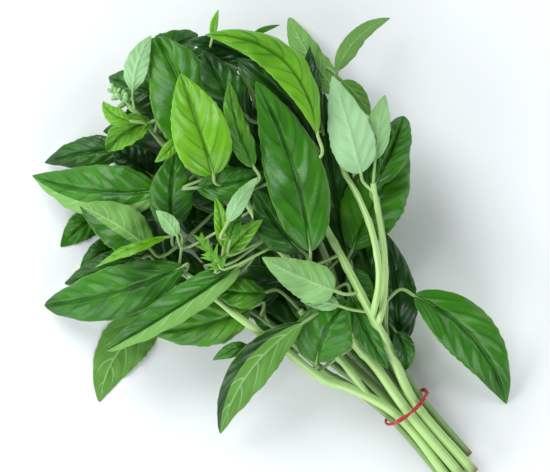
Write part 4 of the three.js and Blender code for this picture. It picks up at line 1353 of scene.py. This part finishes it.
@dataclass
class StemPiece:
    """One leafy stem as an object: stem, shoots, stalks, leaves and buds."""

    stem: LeafyStem
    origin: Vector
    palette: Palette
    leaflets: list[Leaf] = field(default_factory=list)

    def mesh(self) -> bpy.types.Object:
        """Builds the piece.

        Returns:
            The object.
        """
        shape = Shape(self.origin)
        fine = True
        # Stems lower in the heap get a lower tone, which paints them darker: painted shade under
        # the stems above them.
        tone = {"leaf_deep": 0.0, "leaf_mid": 0.22, "leaf_fresh": 0.95}[self.stem.slot]
        for index, axis in enumerate(self.stem.axes):
            rings = max(12, int(axis.length / (2.2 if fine else 6)))
            shape.tube(axis.curve, StemSection(axis), 20 if fine else 10, rings, tone, STALK_SKIN,
                       cut=0.02 if index == 0 else 0)
        for leaf in self.stem.leaves:
            across, along = (12, 22) if leaf.hidden else (26, 64)
            if not fine:
                across, along = across // 2, along // 2
            shape.blade(leaf, across, along)
            self.stalk(shape, leaf, fine)
        for leaf in self.leaflets:
            shape.blade(leaf, 4, 10)
        if self.leaflets:
            self.sprig_stalk(shape)
        if self.stem.name == "centre_left":
            self.buds(shape)
        return shape.finish(f"{self.stem.name}_stem", [self.palette.upper, self.palette.under,
                                                       self.palette.stalk])

    @staticmethod
    def stalk(shape: Shape, leaf: Leaf, fine: bool) -> None:
        """Adds a leaf's stalk, which thins out under the midrib.

        Args:
            shape: the mesh.
            leaf: the leaf.
            fine: whether it is finely divided.
        """
        start = leaf.foot.axis.curve.point(leaf.foot.share)
        base = leaf.midrib(0)
        base.z = max(base.z - 0.3, PETIOLE + 0.1)
        run = [0.09, 0.2, 0.35, 0.5] if leaf.form.under else [0.05, 0.1, 0.16]
        back = (base - leaf.midrib(STALK_DEPTH)).normalized()
        bend = base + back * min(STALK_BEND, (start - base).length * 0.4)
        bend.z = max(bend.z, PETIOLE + 0.6)
        ribs = []
        for share in run:
            spot = leaf.midrib(share)
            spot.z = max(spot.z - 0.75, STALK_LOW)
            ribs.append(spot)
        curve = Spline([start, bend, base] + ribs)
        sturdy = PETIOLE * (0.75 + 0.25 * min(1.0, leaf.width / 20))

        def radius(share: float, angle: float) -> float:
            """Returns the stalk's radius: even up to the blade, then thinning."""
            slim = 1 - 0.75 * smoothstep(share, 0.3, 1.0)
            return sturdy * slim * (1 - 0.12 * max(0.0, math.sin(angle)))

        sides, rings = (10, 28) if fine else (6, 12)
        # A stalk takes its tone from its leaf, so the stalks of deep leaves inside are darker:
        # painted shade.
        shape.tube(curve, radius, sides, rings, 0.1 + 0.7 * leaf.form.tone, STALK_SKIN)

    def sprig_stalk(self, shape: Shape) -> None:
        """Adds the short stalk that the leaflets grow from.

        Args:
            shape: the mesh.
        """
        points = [leaf.midrib(0) for leaf in self.leaflets[::4]]
        start = self.leaflets[0].foot.axis.curve.point(self.leaflets[0].foot.share)
        shape.tube(Spline([start] + points), lambda share, angle: 0.8 - 0.4 * share, 8, 16, 0.8,
                   STALK_SKIN)

    def buds(self, shape: Shape) -> None:
        """Adds the spike of flower buds at the end of the stem.

        Args:
            shape: the mesh.
        """
        curve = self.stem.axes[0].curve
        for i in range(15):
            centre = curve.point(min(1.0, 0.93 + 0.07 * (i / 14)))
            turn = i * 2.4
            reach = 3.4 - 0.1 * i
            spot = centre + Vector((reach * math.cos(turn), reach * math.sin(turn), 0.8 * (i % 3)))
            made = bmesh.ops.create_icosphere(shape.bm, subdivisions=2, radius=1.0)
            aim = (spot - centre + curve.tangent(1.0) * 1.5).normalized()
            turned = aim.to_track_quat("Z", "Y").to_matrix().to_4x4()
            size = (2.2 - 0.05 * i) * METRE
            move = Matrix.Translation(shape.place(spot)) @ turned @ Matrix.Diagonal(
                (size * 0.75, size * 0.75, size * 1.35, 1))
            bmesh.ops.transform(shape.bm, matrix=move, verts=made["verts"])
            for vert in made["verts"]:
                vert[shape.tone] = 0.85 + 0.25 * math.sin(i * 1.9)
                for face in vert.link_faces:
                    face.smooth = True
                    face.material_index = LeafSide.UNDER.value


@dataclass
class StemSection:
    """Section of a stem: slightly square and grooved, swollen at its nodes."""

    axis: Axis

    def __call__(self, share: float, angle: float) -> float:
        """Returns the radius.

        Args:
            share: share of the axis.
            angle: angle round it.

        Returns:
            The radius in millimetres.
        """
        radius = self.axis.radius(share)
        square = 1 + 0.05 * math.cos(4 * angle) - 0.02 * math.cos(8 * angle)
        swell = 0.0
        for node, _, _ in self.axis.nodes:
            away = (share - node) * self.axis.length / NODE_LENGTH
            swell = max(swell, math.exp(-away * away))
        return radius * (square + NODE_SWELL * swell)


@dataclass
class BandPiece:
    """The rubber band: two thin strands that twist round each other on their way round."""

    origin: Vector
    palette: Palette
    strand: float = 0.68
    twists: int = 3

    def mesh(self) -> bpy.types.Object:
        """Builds the piece.

        Returns:
            The object.
        """
        shape = Shape(self.origin)
        for strand in (0, 1):
            verts = shape.grid(10, 160)
            for vert in verts:
                turn = math.pi * (vert.co.y + 1)
                round_it = math.pi * vert.co.x
                vert.co = shape.place(self.point(turn, round_it, strand))
                vert[shape.tone] = 0.5
            for face in {face for vert in verts for face in vert.link_faces}:
                face.smooth = True
            bmesh.ops.remove_doubles(shape.bm, verts=verts, dist=2e-6)
        bmesh.ops.recalc_face_normals(shape.bm, faces=list(shape.bm.faces))
        return shape.finish("band", [self.palette.rubber])

    def point(self, turn: float, round_it: float, strand: int) -> Vector:
        """Returns a point of a strand's surface.

        Args:
            turn: angle round the bundle.
            round_it: angle round the strand.
            strand: which strand.

        Returns:
            The point in millimetres.
        """
        out = Vector((0, math.cos(turn), math.sin(turn) * BAND_HIGH / BAND_ACROSS))
        centre = out * BAND_ACROSS
        out.normalize()
        side = Vector((1, 0, 0))
        twist = self.twists * turn + math.pi * strand
        centre += (side * math.cos(twist) + out * 0.6 * math.sin(twist)) * 0.62
        centre.x += BAND_SAG * math.sin(turn)
        spot = centre + (side * math.cos(round_it) + out * math.sin(round_it)) * self.strand
        spot.rotate(Matrix.Rotation(BAND_SLANT, 3, "Z"))
        return spot + Vector((0, 0, BAND_CENTRE))


@dataclass
class Studio:
    """Floor, light and camera round the bunch."""

    origin: Vector
    distance: float = 2.6
    sensor: float = 0.036

    def build(self) -> None:
        """Sets everything up."""
        self.floor()
        self.light()
        self.camera()

    @staticmethod
    def floor() -> None:
        """Adds a plain white floor."""
        bm = bmesh.new()
        bmesh.ops.create_grid(bm, x_segments=1, y_segments=1, size=4.0)
        mesh = bpy.data.meshes.new("floor")
        bm.to_mesh(mesh)
        bm.free()
        material, _, _ = Finish("floor_white", (0.93, 0.93, 0.93), 0.9, 0.1).start()
        mesh.materials.append(material)
        floor = bpy.data.objects.new("floor", mesh)
        floor.location.z = -0.0002
        bpy.context.scene.collection.objects.link(floor)

    @staticmethod
    def light() -> None:
        """Adds soft panels round the bunch, the strongest at the picture's upper left."""
        scene = bpy.context.scene
        world = bpy.data.worlds.new("sky")
        world.use_nodes = True
        world.node_tree.nodes["Background"].inputs[0].default_value = (0.9, 0.96, 1.0, 1)
        world.node_tree.nodes["Background"].inputs[1].default_value = 0.16
        scene.world = world
        scene.view_settings.view_transform = "Standard"
        panels = {"window": ((-0.9, 1.1, 1.1), 1.2, 30), "left": ((-1.5, -0.7, 0.7), 1.2, 19),
                  "right": ((1.5, 0.2, 0.7), 1.2, 12), "front": ((0.1, -1.5, 0.7), 1.2, 18)}
        for name, (place, size, energy) in panels.items():
            soft = bpy.data.lights.new(name, "AREA")
            soft.size = size
            soft.energy = energy
            soft.color = (0.92, 0.97, 1.0)
            lamp = bpy.data.objects.new(name, soft)
            aim = Matrix.Rotation(BUNCH_TURN, 3, "Z") @ Vector(place)
            lamp.location = aim
            lamp.rotation_euler = aim.to_track_quat("Z", "Y").to_euler()
            scene.collection.objects.link(lamp)

    def camera(self) -> None:
        """Adds the camera that looks straight down, turned as the picture is."""
        scene = bpy.context.scene
        lens = bpy.data.cameras.new("camera")
        middle = plan((PICTURE[0] / 2, PICTURE[1] / 2))
        width = PICTURE[0] * POINT * METRE
        lens.sensor_width = self.sensor * 1000
        lens.lens = self.sensor * 1000 * (self.distance - 0.03) / width
        camera = bpy.data.objects.new("camera", lens)
        flat = (middle - self.origin.to_2d()) * METRE
        camera.location = (flat.x, flat.y, self.distance)
        camera.rotation_euler = (0, 0, BUNCH_TURN)
        scene.collection.objects.link(camera)
        scene.camera = camera


def main() -> None:
    """Builds the bunch and its studio."""
    low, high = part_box("rubber_band")
    ring = (Vector(low) + Vector(high)) / 2
    origin = Vector((-ring.x / METRE, -ring.y / METRE, 0))
    palette = Palette.mix()
    bunch = Bunch()
    for name, stem in bunch.stems.items():
        leaflets = bunch.sprig if name == Sprig.stem else []
        piece = StemPiece(stem, origin, palette, leaflets).mesh()
        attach(piece, "root")
        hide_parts(f"leafy_stem_{name}")
        log.info("%s: %d faces", piece.name, len(piece.data.polygons))
    band = BandPiece(origin, palette).mesh()
    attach(band, "root")
    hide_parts("rubber_band")
    log.info("%s: %d faces", band.name, len(band.data.polygons))
    Studio(origin).build()


if __name__ == "__main__":
    logging.basicConfig(level=logging.INFO, format="%(message)s")
    main()
